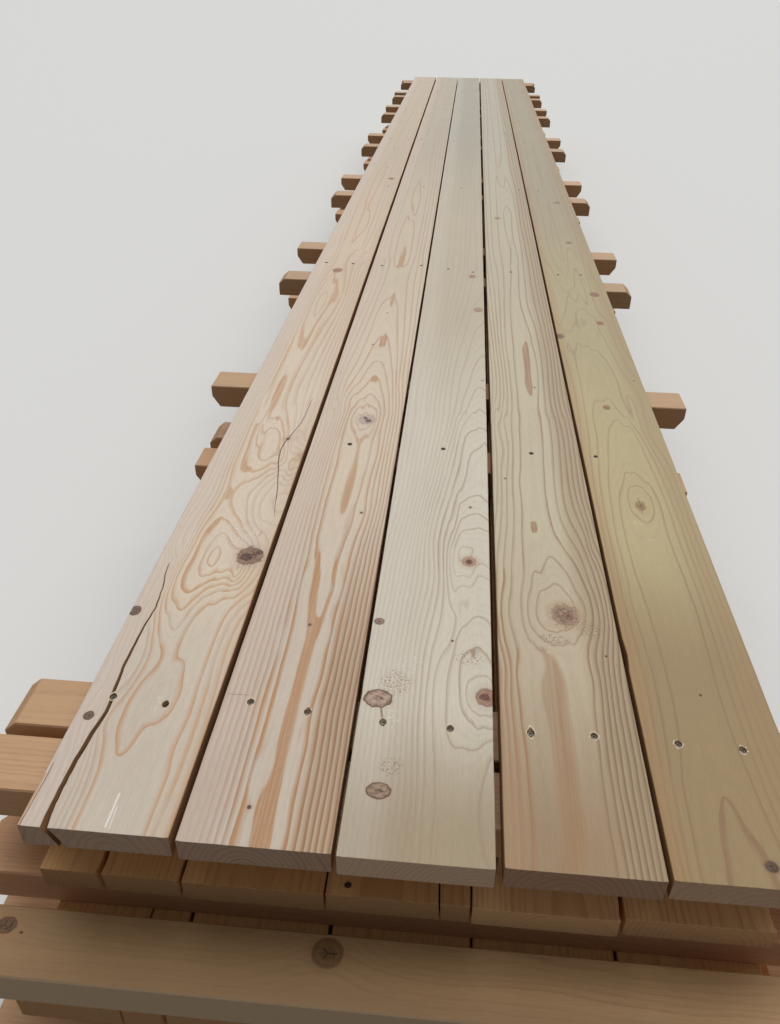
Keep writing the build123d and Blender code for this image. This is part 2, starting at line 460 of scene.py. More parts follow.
def wood(name, w):
    w = {**woodPlain, "earlyToo": w["early"], **w}
    drawn = "figure" in w      # the top boards carry a net with their figure and knots
    t = Tree(bpy.data.materials.new(name))
    place = u, v, h = t.split(t.attribute("grain"))      # across, along and up, in mm
    tone, spread, seed = t.split(t.attribute("look"))
    wave = t.noise(t.vector(u / ringSpec["waveWide"] + seed * 7.0, v / w["waveLong"], h / ringSpec["waveWide"]), 1.0)
    fine = grainNoise(t, place, "fine", along=seed * 3.0)
    streak = grainNoise(t, place, "streak", across=seed)
    fibre = grainNoise(t, place, "fibre")
    nx, ny, nz = t.where("Normal")

    late = ownRings(t, w, place, seed, spread, wave, fine)
    early = t.mix(tone, w["early"], w["earlyToo"])
    lateTone = w["late"]
    if drawn:      # the drawn lines take over on the face
        face, lateTone = drawnRings(t, w, v, fine, streak, fibre)
        late = late + (face - late) * t.step(nz, 0.5, 0.8)
    for start, full, litTone in w["paintedLightZones"]:      # painted light and shade along the board, zone by zone: darker at the near end, lighter further on, duller far off
        early = t.mix(t.step(v + (wave - 0.5) * 60.0, start, full), early, litTone)
    for b in w["bands"]:      # a stretch of the width with a tint; on the top boards, one that fades out along the board is partly painted shade over the near end
        side = t.step(u + (wave - 0.5) * 8.0, b["start"], b["full"])
        if b["until"]:
            side = side * (1.0 - t.step(v + (wave - 0.5) * 90.0, b["until"] * 0.35, b["until"]))
        side = side * b["amount"]
        early = t.mix(side, early, b["colour"])
        lateTone = t.mix(side, lateTone, b["late"])
    colour = t.mix(late, early, lateTone)

    # streaks, fibres and flecks
    shade = 0.71 + 0.16 * streak + 0.32 * fibre + 0.12 * grainNoise(t, place, "cloud", along=seed * 2.0)
    colour = t.mix(1.0, colour, t.vector(shade, shade, shade), "MULTIPLY")
    fleck = t.step(grainNoise(t, place, "fleck", across=40.0), 0.70, 0.80) * w["flecks"]
    colour = t.mix(fleck, colour, woodMarks["fleck"])
    rough = 0.50 - 0.10 * late + 0.08 * fibre
    relief = late * 0.5 + fibre * 0.35

    ragged = t.noise(t.vector(u / 5.5, v / 6.5, seed), 2.0) - 0.5
    cracked = t.step(t.noise(t.vector(u / 5.0, v / 3.0, seed + 3.0), 2.0), 0.52, 0.60)
    knots = [netKnot(t, layer) for layer in range(2)] if drawn else [plainKnot(u, v, k) for k in w["knots"]]
    colour, relief = addKnots(t, knots, ragged, cracked, colour, relief)
    colour, relief = addTears(t, w["torn"], u, v, colour, relief)
    if "crack" in w:
        colour, relief = addCrack(t, w["crack"], v, seed, colour, relief)
    colour, relief = addScratches(t, w["lines"], u, v, ragged, colour, relief)

    # the sawn ends are greyer and fuzzy
    endFace = t.step((ny if w["alongY"] else nx).op("ABSOLUTE"), 0.6, 0.8)
    saw = t.noise(t.vector(u / 0.6 + h * 0.12, 2.0, h / 16.0), 1.0)
    endTone = t.mix(fibre * 0.6 + saw * 0.5, w["endDark"], w["endPale"])
    endTone = t.mix(tone * w["endLift"], endTone, early)
    endTone = t.mix(late * 0.5, endTone, woodMarks["endRing"])
    colour = t.mix(endFace * 0.85, colour, endTone)
    relief = relief + endFace * (fibre * 1.6 + saw - relief)
    rough = rough + endFace * 0.3

    if "sawn" in w:      # painted light: the long side towards the camera is paler and greyer, as if lit by cool light from the front
        colour = t.mix(t.step(ny * -1.0, 0.6, 0.8) * 0.7, colour, w["sawn"])
    if "gapShadeSide" in w:      # painted shade: the board edges inside the gaps are tinted dark brown, where shade falls between the boards
        towards = {"left": nx * -1.0, "right": nx, "both": nx.op("ABSOLUTE")}[w["gapShadeSide"]]
        gapShadeTone = t.mix(streak, woodMarks["gapShadeDark"], woodMarks["gapShadePale"])
        colour = t.mix(t.step(towards, 0.75, 0.95) * 0.8, colour, gapShadeTone)
    if "split" in w:      # the torn walls inside the split: the torn wood's brown, darkened as painted shade in the narrow split
        inner = t.step(nx.op("ABSOLUTE"), 0.35, 0.6) * t.step(u, 7.0, 12.0) * (1.0 - t.step(u, 60.0, 66.0))
        colour = t.mix(inner, colour, t.mix(fibre, woodMarks["splitDark"], woodMarks["splitPale"]))
    return t.finish(colour, rough, t.bump(relief, woodBump["strength"], woodBump["distance"]))


# shapes: an outline pushed out, with eased edges on both faces

def smoothNoise(x, seed):
    return noise.noise(Vector((x, seed * 3.7, 1.3)))


def stepAt(y, steps):      # steps: up to this y, step
    return next(step for until, step in steps if y < until)


def tubeFaces(n, rings, base=0):      # the faces between rings of n points, then a cap at both ends
    faces = []
    for first in range(base, base + (rings - 1) * n, n):
        for i in range(n):
            j = (i + 1) % n
            faces.append((first + i, first + j, first + n + j, first + n + i))
    faces.append(tuple(base + i for i in range(n - 1, -1, -1)))
    faces.append(tuple(base + (rings - 1) * n + i for i in range(n)))
    return faces


def prism(points, thick, ease, lean=None):
    # points: (a, b, easeShare) round the outline, counter-clockwise; the result spans c from 0 to thick
    # lean: how far each point slides along a from top to underside
    inward = []
    for i, (bx, by, share) in enumerate(points):
        ax, ay, _ = points[i - 1]
        cx, cy, _ = points[(i + 1) % len(points)]
        before, after = Vector((bx - ax, by - ay)).normalized(), Vector((cx - bx, cy - by)).normalized()
        normal = Vector((-before.y, before.x))
        mid = normal + Vector((-after.y, after.x))
        mid = normal if mid.length < 0.2 else mid.normalized() / max(0.6, mid.normalized().dot(normal))
        inward.append(mid * ease * share)
    vertices = []
    for level, pull in ((0.0, 1.0), (ease, 0.0), (thick - ease, 0.0), (thick, 1.0)):
        for i, ((a, b, share), move) in enumerate(zip(points, inward)):
            c = level
            if share < 1.0 and pull == 0.0:      # less ease where the share is small
                c = ease * share if level < thick / 2 else thick - ease * share
            slide = lean[i] * (1.0 - c / thick) if lean else 0.0
            vertices.append((a + move.x * pull + slide, b + move.y * pull, c))
    return vertices, tubeFaces(len(points), 4)


boardShape = {      # mm
    "steps": ((700.0, 14.0), (2200.0, 34.0), (math.inf, 90.0)),      # how close the points of the long edges stand
    "in": 0.25, "wave": 0.35, "waveLong": 90.0, "ripple": 0.25, "rippleLong": 19.0,
    "nearCount": 24, "nearWave": 0.35, "farCount": 12, "farWave": 0.3, "margin": 6.0, "corner": 0.6,
    "endEase": 0.35, "wallEase": 0.45, "mouthRoom": 1.5, "splitStep": 6.0,
}


def splitWalls(split, seed, s):      # down one wall of an open split and back up the other, with splinters
    fine = []
    for (x0, y0, w0), (x1, y1, w1) in zip(split["path"], split["path"][1:]):
        count = max(2, int((y1 - y0) / s["splitStep"]))
        for k in range(count):
            part = k / count
            fine.append((x0 + (x1 - x0) * part, y0 + (y1 - y0) * part, w0 + (w1 - w0) * part))
    left, right = [], []
    for i, (x, y, wide) in enumerate(fine):
        wobble = split["rough"] * smoothNoise(y / 11.0, seed + 21)
        extra = 0.35 * split["rough"] * smoothNoise(y / 4.0, seed + 23)
        fade = min(1.0, i / 3.0)
        left.append((x + wobble * fade - wide / 2, y, s["wallEase"]))
        right.append((x + (wobble + extra) * fade + wide / 2, y, s["wallEase"]))
    tip = split["path"][-1]
    return left + [(tip[0], tip[1], 0.0)] + right[::-1]


def boardOutline(wide, long, seed, split, chips):
    # local mm, near end at b = 0; both long edges wander a little, the ends are sawn
    s = boardShape

    def edge(y, side):
        off = s["in"] + s["wave"] * abs(smoothNoise(y / s["waveLong"], seed + side))
        off += s["ripple"] * abs(smoothNoise(y / s["rippleLong"], seed + 5 + side))
        for chip in chips:
            gone = 1.0 - abs(y - chip["at"]) / chip["half"]
            if chip["side"] == side and gone > 0:
                off += chip["deep"] * min(1.0, gone * 1.8) * (0.75 + 0.25 * smoothNoise(y / 5.0, seed + 9))
        return off
    rows = [s["margin"]]
    while rows[-1] + stepAt(rows[-1], s["steps"]) < long - s["margin"]:
        rows.append(rows[-1] + stepAt(rows[-1], s["steps"]))
    right = [(wide - edge(y, 1), y, 1.0) for y in rows]
    left = [(edge(y, 0), y, 1.0) for y in reversed(rows)]
    near = [(wide * k / s["nearCount"], s["nearWave"] * abs(smoothNoise(k * 1.3, seed + 3)), s["endEase"])
            for k in range(1, s["nearCount"])]
    far = [(wide * k / s["farCount"], long - s["farWave"] * abs(smoothNoise(k * 1.7, seed + 2)), s["endEase"])
           for k in range(s["farCount"] - 1, 0, -1)]
    lean = {}
    if split:
        middle, _, mouth = split["path"][0]
        walls = splitWalls(split, seed, s)
        before = [p for p in near if p[0] < middle - mouth / 2 - s["mouthRoom"]]
        after = [p for p in near if p[0] > middle + mouth / 2 + split["lean"] + s["mouthRoom"]]
        near = before + walls + after
        lean = {p: split["lean"] for p in walls}
    c = s["corner"]
    points = near + [(wide - c, 0.5, c)] + right + [(wide - c, long - c, c)] + far + [(c, long - c, c)] + left
    points.append((c, 0.5, c))
    return points, [lean.get(p, 0.0) for p in points]


def boxOf(node):
    low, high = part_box(node)
    return low, high, [(high[k] - low[k]) / mm for k in range(3)]


def placed(low, points):      # from mm in a piece's own box to metres in the scene
    return [tuple(low[k] + p[k] * mm for k in range(3)) for p in points]


def makeObject(name, vertices, faces, material, slot):
    mesh = bpy.data.meshes.new(name)
    mesh.from_pydata(vertices, [], faces)
    mesh.validate()
    mesh.update()
    mesh.materials.append(material)
    obj = addToScene(name, mesh)
    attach(obj, "root")
    return obj


def joinTo(store, vertices, faces):      # store: vertices and faces of several shapes that become one mesh
    base = len(store[0])
    store[0].extend(vertices)
    store[1].extend(tuple(base + i for i in f) for f in faces)


def writeGrain(mesh, grains, looks):
    writeVectors(mesh, "grain", grains)
    writeVectors(mesh, "look", looks)


# screws: dark steel heads sunk in torn little pits

screwSpec = {      # mm
    "head": 3.5, "rim": 0.35, "under": 0.9, "socket": 1.9, "socketDeep": 1.3, "lobes": 6, "tilt": 0.06, "points": 24,
    "pit": 4.2, "pitPoints": 14, "pitOver": 0.6, "pitRim": 0.7, "pitRagged": 0.16,
    "lipHigh": 0.2, "lipWide": 1.5, "lipPoints": 18,
}


def screw(u, v, deep=2.0, stretch=0.1):      # how deep its head lies, how far its pit is torn along the grain
    return u, v, deep, stretch


def screwPlaces(low, screws):      # mm in the scene
    return [(low[0] / mm + u, low[1] / mm + v, deep, stretch) for u, v, deep, stretch in screws]


def longer(a, stretch):
    return 1.0 + stretch * abs(math.sin(a)) ** 6


def cutPits(obj, places, s, top):      # s: screwSpec; top: the height of the face in metres
    vertices, faces = [], []
    n = s["pitPoints"]
    for i, (x, y, deep, stretch) in enumerate(places):
        faces += [f[::-1] for f in tubeFaces(n, 3, len(vertices))]
        rings = ((s["pitOver"], s["pit"] + 0.5, True), (-s["pitRim"], s["pit"] * 0.93, True),
                 (-deep - s["under"], s["head"] + 0.12, False))
        for level, radius, torn in rings:
            for k in range(n):
                a = 2 * math.pi * k / n
                r = radius * (1.0 + (s["pitRagged"] * smoothNoise(k * 2.3 + i * 7.0, 40 + level) if torn else 0.0))
                along = r * (longer(a, stretch) if torn else 1.0)
                vertices.append(((x + r * math.cos(a)) * mm, (y + along * math.sin(a)) * mm, top + level * mm))
    mesh = bpy.data.meshes.new("pitCutter")
    mesh.from_pydata(vertices, [], faces)
    cutter = addToScene("pitCutter", mesh)
    step = obj.modifiers.new("pits", "BOOLEAN")
    step.operation = "DIFFERENCE"
    step.solver = "EXACT"
    step.object = cutter
    bpy.context.view_layer.update()
    shaped = bpy.data.meshes.new_from_object(obj.evaluated_get(bpy.context.evaluated_depsgraph_get()))
    obj.modifiers.clear()
    old = obj.data
    obj.data = shaped
    shaped.name = obj.name
    bpy.data.meshes.remove(old)
    bpy.data.objects.remove(cutter)


def screwMaterial():
    t = Tree(bpy.data.materials.new("screwSteel"))
    x, y, z = t.where("Object")
    grime = t.noise(t.vector(x * 900.0, y * 900.0, z * 900.0), 3.0)
    colour = t.mix(t.step(grime, 0.4, 0.65), (96, 90, 80), (46, 40, 34))
    return t.finish(colour, 0.32 + grime * 0.3, t.bump(grime, 0.4, 0.0002), 0.5, t.step(grime, 0.7, 0.3))


def lipMaterial():
    t = Tree(bpy.data.materials.new("tornFibre"))
    x, y, z = t.where("Object")
    fuzz = t.noise(t.vector(x * 1500.0, y * 500.0, z * 900.0), 3.0)
    colour = t.mix(fuzz, (176, 148, 112), (228, 212, 184))
    return t.finish(colour, 0.38 + fuzz * 0.2, t.bump(fuzz, 0.6, 0.0003), 0.5)


def addScrews(heads, lips, places, s, top, rng):
    for x, y, deep, stretch in places:
        spin = rng.uniform(0, 1.0)
        leanX, leanY = rng.uniform(-s["tilt"], s["tilt"]), rng.uniform(-s["tilt"], s["tilt"])
        phase = rng.uniform(0, 40)
        n = s["points"]
        rows = ((s["head"], -s["under"], 0.0), (s["head"], -s["rim"], 0.0), (s["head"] - 0.35, 0.0, 0.0),
                (s["socket"], 0.0, 0.2), (s["socket"] * 0.86, -s["socketDeep"], 0.2))
        vertices = []
        for radius, level, star in rows:
            for k in range(n):
                a = 2 * math.pi * k / n
                r = radius * (1.0 - star + star * math.cos(s["lobes"] * a))
                px, py = r * math.cos(a + spin), r * math.sin(a + spin)
                high = -deep + level + px * leanX + py * leanY
                vertices.append(((x + px) * mm, (y + py) * mm, top + high * mm))
        joinTo(heads, vertices, tubeFaces(n, len(rows)))

        n = s["lipPoints"]
        vertices, faces = [], []
        for k in range(n):
            a = 2 * math.pi * k / n
            grow = max(0.0, 2.2 * smoothNoise(k * 0.9 + phase, 60) - 0.12)
            inner, wide, high = s["pit"] + 0.15, s["lipWide"] * (0.5 + grow), s["lipHigh"] * grow
            rows = ((inner - 0.35, -0.25), (inner, high), (inner + wide * 0.45, high * 0.8), (inner + wide, -0.03))
            for r, level in rows:
                along = r * longer(a, stretch)
                vertices.append(((x + r * math.cos(a)) * mm, (y + along * math.sin(a)) * mm, top + level * mm))
            i, j = 4 * k, 4 * ((k + 1) % n)
            faces += [(i + row, i + row + 1, j + row + 1, j + row) for row in range(3)]
        joinTo(lips, vertices, faces)


# the figure of a board's face: drawn ring lines, and a smooth surface through them

figureSpec = {
    "bend": 130.0, "bendFrom": 520.0,               # mm: how the far part is pressed together
    "slack": 12.0,                                  # how far the surface may miss the lines
    "lineWide": 2.5, "across": 0.6, "along": 2.0,   # mm: a faint line, and the steps that measure the slope
}
netSpec = {      # mm between the points of the top face's net
    "across": ((1300.0, 2.6), (math.inf, 5.0)), "along": ((1000.0, 4.5), (2000.0, 9.0), (math.inf, 24.0)),
    "sides": 2.0, "ends": 4.0,
}


def squeeze(v):      # far from the near end the figure is long and straight
    return figureSpec["bend"] * np.arcsinh(v / figureSpec["bendFrom"])


def plate(r2):      # the bending of a thin plate at a squared distance
    return 0.5 * r2 * np.log(r2 + 1e-6)


def figureField(figure):
    # figure: (ring number, force, u, v, u, v, ...), and after the force a width in mm
    # where the line isn't as wide as its force says
    rows = []
    for ring, force, *line in figure:
        usual = round(figureSpec["lineWide"] * (1.0 + force), 2)
        wide = line.pop(0) if len(line) % 2 else usual
        rows += [(u, squeeze(v), ring, force, wide) for u, v in zip(line[0::2], line[1::2])]
    table = np.array(rows, float)
    at, ring, kind = table[:, :2], table[:, 2], table[:, 3:]
    n = len(at)
    whole = np.zeros((n + 3, n + 3))
    whole[:n, :n] = plate(((at[:, None] - at[None]) ** 2).sum(-1)) + np.eye(n) * figureSpec["slack"]
    whole[:n, n] = 1
    whole[:n, n + 1:] = at
    whole[n:, :n] = whole[:n, n:].T
    w = np.linalg.solve(whole, np.concatenate([ring, [0, 0, 0]]))

    def field(u, v):
        where = np.stack([u, squeeze(v)], 1)
        out, kinds = [], []
        for s in range(0, len(where), 8000):      # in parts, to save memory
            q = where[s:s + 8000]
            d = ((q[:, None] - at[None]) ** 2).sum(-1)
            out.append(plate(d) @ w[:n] + w[n] + q @ w[n + 1:])
            near = 1.0 / (d + 4.0) ** 2
            kinds.append((near @ kind) / near.sum(1)[:, None])
        return np.concatenate(out), np.concatenate(kinds)
    return field


def writeFigure(mesh, places, spec):
    # figure: ring, rings per mm, line width; mark: force, distance from the crack, crack width
    p = np.array(places, float)
    u, v = p[:, 0], np.clip(p[:, 1], 0.0, None)
    field = figureField(spec["figure"])
    ring, kind = field(u, v)
    du, dv = figureSpec["across"], figureSpec["along"]
    slope = np.hypot((field(u + du, v)[0] - ring) / du, (field(u, v + dv)[0] - ring) / dv)
    off, wide = np.full(len(u), 99.0), np.zeros(len(u))
    if "crack" in spec:
        path = np.array(sorted(spec["crack"]["path"], key=lambda q: q[1]), float)
        off = u - np.interp(v, path[:, 1], path[:, 0])
        wide = np.interp(v, path[:, 1], path[:, 2], 0.0, 0.0)
    writeVectors(mesh, "figure", np.stack((ring, slope, kind[:, 1]), 1))
    writeVectors(mesh, "mark", np.stack((kind[:, 0], off, wide), 1))


def fillTop(vertices, faces, count, thick):
    # the last face, the flat top, becomes a fine net that can carry the figure
    s = netSpec
    rim = list(range(3 * count, 4 * count))
    flat = [Vector(vertices[i][:2]) for i in rim]
    wide, long = max(p.x for p in flat), max(p.y for p in flat)
    loose, y, odd = [], s["ends"], False
    while y < long - s["ends"]:
        stepX = stepAt(y, s["across"])
        x = s["sides"] + (stepX / 2 if odd else 0.0)
        while x < wide - s["sides"]:
            loose.append(Vector((x, y)))
            x += stepX
        y += stepAt(y, s["along"])
        odd = not odd
    points, _, triangles, origins, _, _ = geometry.delaunay_2d_cdt(flat + loose, [], [list(range(count))], 1, 1e-5)
    index = []
    for p, origin in zip(points, origins):
        known = [o for o in origin if o < count]
        if known:
            index.append(rim[known[0]])
        else:
            index.append(len(vertices))
            vertices.append((p.x, p.y, thick))
    faces[-1:] = [tuple(index[i] for i in f) for f in triangles]


# the five boards of the top panel, left to right
# places are mm from each board's own near left corner; zones of painted light and shade: from, to and colour along the
# board

topBoards = [
    {"pith": (82, -30), "spacing": 8.5, "wave": 20.0, "waveLong": 150.0, "shake": 2.2, "rise": 16.0, "driftU": 24.0,
     "early": (200, 187, 170), "late": (187, 140, 96), "lateFine": (168, 138, 118), "contrast": 0.9, "soft": 0.55,
     "figureAmount": 1.05, "figureWide": 1.9, "figureFade": 0.1, "gapShadeSide": "right",
     "paintedLightZones": [(140, 420, (214, 198, 176)), (900, 1600, (208, 188, 162)), (1800, 3200, (194, 176, 152))],
     "bands": [band(44, 20, 0.5, (206, 190, 178)),
               band(118, 140, 0.25, (196, 164, 128)),
               band(142.6, 144.2, 0.6, (176, 120, 70))],
     "knots": [knot(121, 431, 18.5, 1.15, colour=(138, 100, 76), dark=(84, 52, 38), edge=0.15, cracks=1.0,
                    coreWide=0.8, rag=0.6, haloColour=(176, 150, 134)),
               knot(117, 428, 9, 1.0, knotHeart, colour=(84, 44, 34), dark=(44, 22, 16)),
               knot(132, 440, 5.5, 1.0, knotHeart, colour=(92, 48, 36), dark=(48, 26, 20)),
               knot(146, 706, 9, 1.5, colour=(186, 142, 130), dark=(160, 116, 104), amount=0.6, edge=0.0, cracks=0.0,
                    rag=0.6, halo=2.0),
               knot(6, 306, 7, 1.3, knotDead, colour=(110, 78, 58), dark=(66, 42, 30)),
               knot(15, 136, 5.5, 1.1, knotDead, colour=(98, 68, 46), dark=(58, 36, 24)),
               knot(66, 1668, 11, 1.5, colour=(176, 122, 92)),
               knot(110, 760, 4, 1.2, colour=(120, 86, 64), edge=0.2, cracks=0.3, halo=4.0),
               knot(112, 2767, 10, 1.6, colour=(150, 104, 80))],
     "torn": [tear(103, 484, 28, 32, 0.75, (140, 104, 84), "long"),
              tear(101, 480, 30, 34, 0.85, (238, 230, 218), "long"),
              tear(128, 776, 13, 26, 0.5, (160, 124, 104), "long"),
              tear(82, 160, 7, 15, 0.6, (232, 224, 212), "long")],
     "crack": {"colour": (84, 52, 38),
               "path": [(126, 915, 0.2), (125.5, 900, 0.5), (123.6, 845, 0.7), (121.4, 814, 0.8), (114, 780, 1.0),
                        (109.5, 759, 1.3), (106.4, 745, 1.2), (105.5, 718, 1.2), (108.6, 686, 1.3), (114, 659, 1.2),
                        (118.6, 632, 1.0), (123.6, 605, 0.9), (126.8, 582, 0.8), (130, 555, 0.6), (135, 527, 0.2)]},
     "lines": [scratch((83, 6), (83, 44), wide=1.5, colour=(236, 230, 218), deep=0.8),
               scratch((87, 4), (86, 30), wide=0.7, colour=(240, 236, 226), deep=0.8),
               scratch((3, 0), (4.5, 51), (4.2, 72), wide=0.7, colour=(110, 72, 48)),
               scratch((1.2, 0), (2, 60), wide=1.6, colour=(196, 140, 88), wander=0.5, amount=0.7, deep=0.0),
               scratch((123, 478), (125, 490), wide=2.0, colour=(190, 150, 96), amount=0.7, deep=0.0)],
     "screws": [screw(31, 165, 1.6, 0.3), screw(91, 160, 5.0, 0.2), screw(27, 1731), screw(99, 1729),
                screw(112, 2645)],
     "split": {"lean": 13, "rough": 0.8,
               "path": [(26.3, 0, 6.8), (24, 26, 4.7), (24.6, 57, 4.5), (25.4, 84, 4.6), (27.6, 112, 4.5),
                        (30.2, 128, 4.1), (31.4, 143, 3.8), (30.5, 158, 3.5), (28.6, 177, 3.3), (26.2, 208, 3),
                        (25.6, 240, 2.5), (26.8, 285, 1.8), (28.8, 316, 1.3), (25.3, 352, 1), (20, 380, 0.8),
                        (17.4, 408, 0.5)]},
     "chips": [],
     "figure": [
        (15, .9, 68, 88, 58, 98, 52, 115, 50, 138, 50, 170, 53, 188, 63, 222, 60, 240, 44, 272, 36, 302, 32, 325, 29,
         405), (15, .85, 75, 102, 80, 125, 85, 132, 95, 138, 102, 150, 104, 180, 99, 200, 82, 232, 80, 245, 88, 312,
         93, 325, 99, 324, 109, 339, 122, 340), (15.25, .3, 68, 70, 66, 45), (14.35, .5, 68, 112, 64, 138, 74, 145,
         84, 145, 64, 170, 76, 170, 92, 165, 74, 195, 88, 195, 72, 220), (14.5, .5, 72, 245, 70, 260), (15.3, .4, 104,
         220, 106, 145, 109, 270, 106, 308, 94, 258, 84, 82, 104, 82, 82, 45, 106, 32, 62, 30), (14, .4, 49, 302, 55,
         284, 64, 274, 70, 285, 77, 320, 85, 340, 99, 354, 116, 359), (13, .85, 35, 405, 38, 350, 46, 328, 59, 312,
         69, 322, 76, 340, 86, 358, 99, 366, 119, 367), (12, 1, 8, 45, 420, 44, 370, 50, 351, 58, 344, 69, 352, 79,
         367, 86, 374, 109, 374), (11, .7, 58, 420, 62, 389, 66, 380, 74, 384, 92, 387, 109, 383), (10, .7, 64, 415,
         69, 405, 76, 397, 112, 389), (16, .8, 124, 0, 124, 70, 120, 95, 123, 145, 119, 245, 120, 295, 124, 320, 132,
         338, 142, 352), (17, .35, 132, 8, 128, 245, 130, 295, 136, 320, 144, 335), (18, .75, 144, 5, 138, 245, 140,
         295, 144, 320), (16, .8, 52, 0, 52, 45, 50, 70, 46, 88, 35, 122), (17, .45, 46, 0, 45, 45, 42, 75, 33, 115),
        (18, .45, 40, 0, 39, 45, 33, 98), (19, .45, 34, 0, 34, 45, 32, 75), (21, .45, 19, 0, 16, 88, 7, 135, 7, 158,
         12, 180, 14, 208), (22, .45, 13, 0, 12, 58, 8, 95, 2, 125), (23, .45, 6, 0, 4, 58, 0, 88), (19, .45, 21, 195,
         17, 270, 14, 290, 13, 312, 17, 338, 14, 420), (20, .4, 14, 220, 10, 280), (20, .4, 10, 332, 8, 370, 8, 420),
        (18, .45, 24, 195, 24, 258, 20, 420), (16.9, .5, 29, 285, 35, 270, 40, 245, 42, 220, 40, 195, 37, 182), (17,
         .45, 25, 338, 25, 420), (13, .8, 32, 900, 39, 667, 46, 583, 44, 540, 39, 500, 37, 467, 37, 433), (12, .85, 8,
         49, 900, 43, 833, 43, 800, 49, 727, 50, 673, 54, 652, 66, 640, 78, 643, 88, 653, 96, 665, 106, 673, 114, 676,
         132, 676, 146, 673), (11, .8, 55, 813, 61, 820, 71, 814, 84, 797, 94, 780, 100, 760), (11, .8, 54, 800, 70,
         730, 69, 713, 71, 696, 78, 685, 86, 681, 107, 688), (10.45, .3, 81, 760, 82, 733, 86, 707), (11.8, .95, 14,
         67, 655, 59, 660), (12, .9, 12, 67, 900, 70, 873, 78, 840, 96, 797, 102, 767), (11.8, .9, 14, 59, 897, 62,
         873), (12.3, .4, 71, 830, 52, 820, 62, 825), (13, .6, 82, 900, 86, 873, 106, 800, 109, 773), (14, .3, 102,
         900, 112, 833, 116, 790), (15, .3, 114, 900, 120, 827), (16, .3, 127, 900, 128, 850, 123, 773, 127, 753, 139,
         740), (17, .3, 137, 900, 138, 833, 136, 783, 146, 753), (13, .75, 114, 670, 102, 659, 82, 625, 74, 617, 67,
         607, 62, 580, 64, 563, 69, 547, 77, 530, 87, 517, 101, 490), (12.75, .8, 12, 54, 593, 55, 580), (12.3, .3,
         56, 617, 57, 540), (14, .5, 116, 657, 96, 617, 87, 587, 88, 567, 93, 540, 107, 502), (15, .4, 118, 640, 110,
         623, 103, 603, 99, 580, 100, 550, 104, 530, 110, 513), (16, .35, 121, 617, 114, 593, 110, 567, 112, 540, 117,
         520, 132, 513, 146, 513), (17, .45, 131, 591, 139, 592, 145, 580, 145, 545, 133, 543, 129, 557, 128, 577),
        (13, .4, 119, 668, 146, 666), (14, .4, 121, 655, 146, 653), (15, .45, 122, 640, 146, 641), (16, .5, 125, 617,
         146, 616), (12, .9, 44, 473, 53, 511, 61, 518, 71, 513, 85, 493), (11.75, .9, 12, 57, 508, 52, 495), (11, .4,
         58, 433, 61, 463, 67, 479, 76, 480), (15, .45, 26, 900, 28, 700, 34, 583, 29, 467, 29, 427), (16, .45, 19,
         900, 20, 767, 25, 590, 21, 423), (17, .45, 12, 900, 14, 700, 17, 600, 15, 423), (18, .4, 6, 900, 10, 600, 9,
         433), (12, .9, 10, 53, 891, 50, 960, 50, 1129, 53, 1168, 75, 1298, 84, 1422, 70, 1591), (12, .9, 10, 68, 891,
         66, 960, 72, 1145, 97, 1437, 95, 1506, 77, 1622), (11.8, .9, 14, 60, 922, 60, 983, 56, 1175), (12.3, .3, 60,
         1083), (11, .5, 53, 1398, 50, 1437, 55, 1491, 63, 1506, 70, 1475, 72, 1422, 68, 1360, 60, 1329), (13, .5, 43,
         891, 33, 1452, 37, 1568, 49, 1760), (13, .7, 84, 891, 81, 1068, 101, 1375, 104, 1491, 99, 1591, 80, 1760),
        (14, .5, 99, 891, 97, 1029, 115, 1452, 103, 1760), (16, .5, 122, 891, 127, 1529, 124, 1760), (18, .4, 140,
         891, 141, 1760), (15, .4, 27, 891, 21, 1375, 24, 1568, 32, 1760), (17, .4, 9, 891, 6, 1452, 10, 1760), (12,
         .9, 78, 1900, 75, 1967, 97, 2122, 93, 2200, 78, 2289, 62, 2344, 53, 2422, 57, 2489), (12, .7, 66, 1800, 73,
         1956, 66, 2089), (13, .5, 106, 1800, 108, 2067, 104, 2400, 78, 3289, 84, 3400), (15, .4, 131, 1800, 133,
         2178, 126, 3067, 128, 3400), (13, .5, 45, 1800, 28, 2733, 35, 3400), (15, .4, 19, 1800, 11, 2733, 13, 3400),
        (12, .6, 62, 3033, 68, 3111, 84, 3033, 78, 2867), (13, .5, 90, 4600, 96, 6000), (13, .5, 40, 4600, 36, 6000),
        (15, .4, 126, 4600, 130, 6000), (15, .4, 15, 4600, 12, 6000),
     ]},
    {"pith": (62, -34), "spacing": 5.6, "wave": 7.0, "waveLong": 420.0, "shake": 1.0, "rise": 10.0, "driftU": 10.0,
     "early": (200, 185, 168), "late": (174, 126, 80), "lateFine": (160, 124, 100), "contrast": 1.0, "soft": 0.3,
     "figureAmount": 1.65, "figureFade": 0.3, "gapShadeSide": "both",
     "paintedLightZones": [(250, 700, (210, 194, 170)), (1100, 1700, (200, 184, 160)), (1800, 3600, (180, 168, 148))],
     "bands": [band(50, 14, 0.45, (204, 184, 168)),
               # the two bands with an until: painted shade over the near end, on the right over the amber stripes
               band(50, 14, 0.6, (186, 164, 148), until=160),
               band(92, 118, 0.72, (174, 147, 116), late=(134, 94, 56), until=560)],
     "knots": [knot(84, 845, 15, 1.15, colour=(186, 164, 154), dark=(150, 122, 114), amount=0.7, edge=0.12,
                    cracks=0.2, halo=1.6, haloColour=(184, 164, 158)),
               knot(87, 841, 5.5, 1.2, knotHeart, colour=(110, 78, 68), dark=(70, 44, 38), cracks=0.9, rag=0.8,
                    halo=1.4),
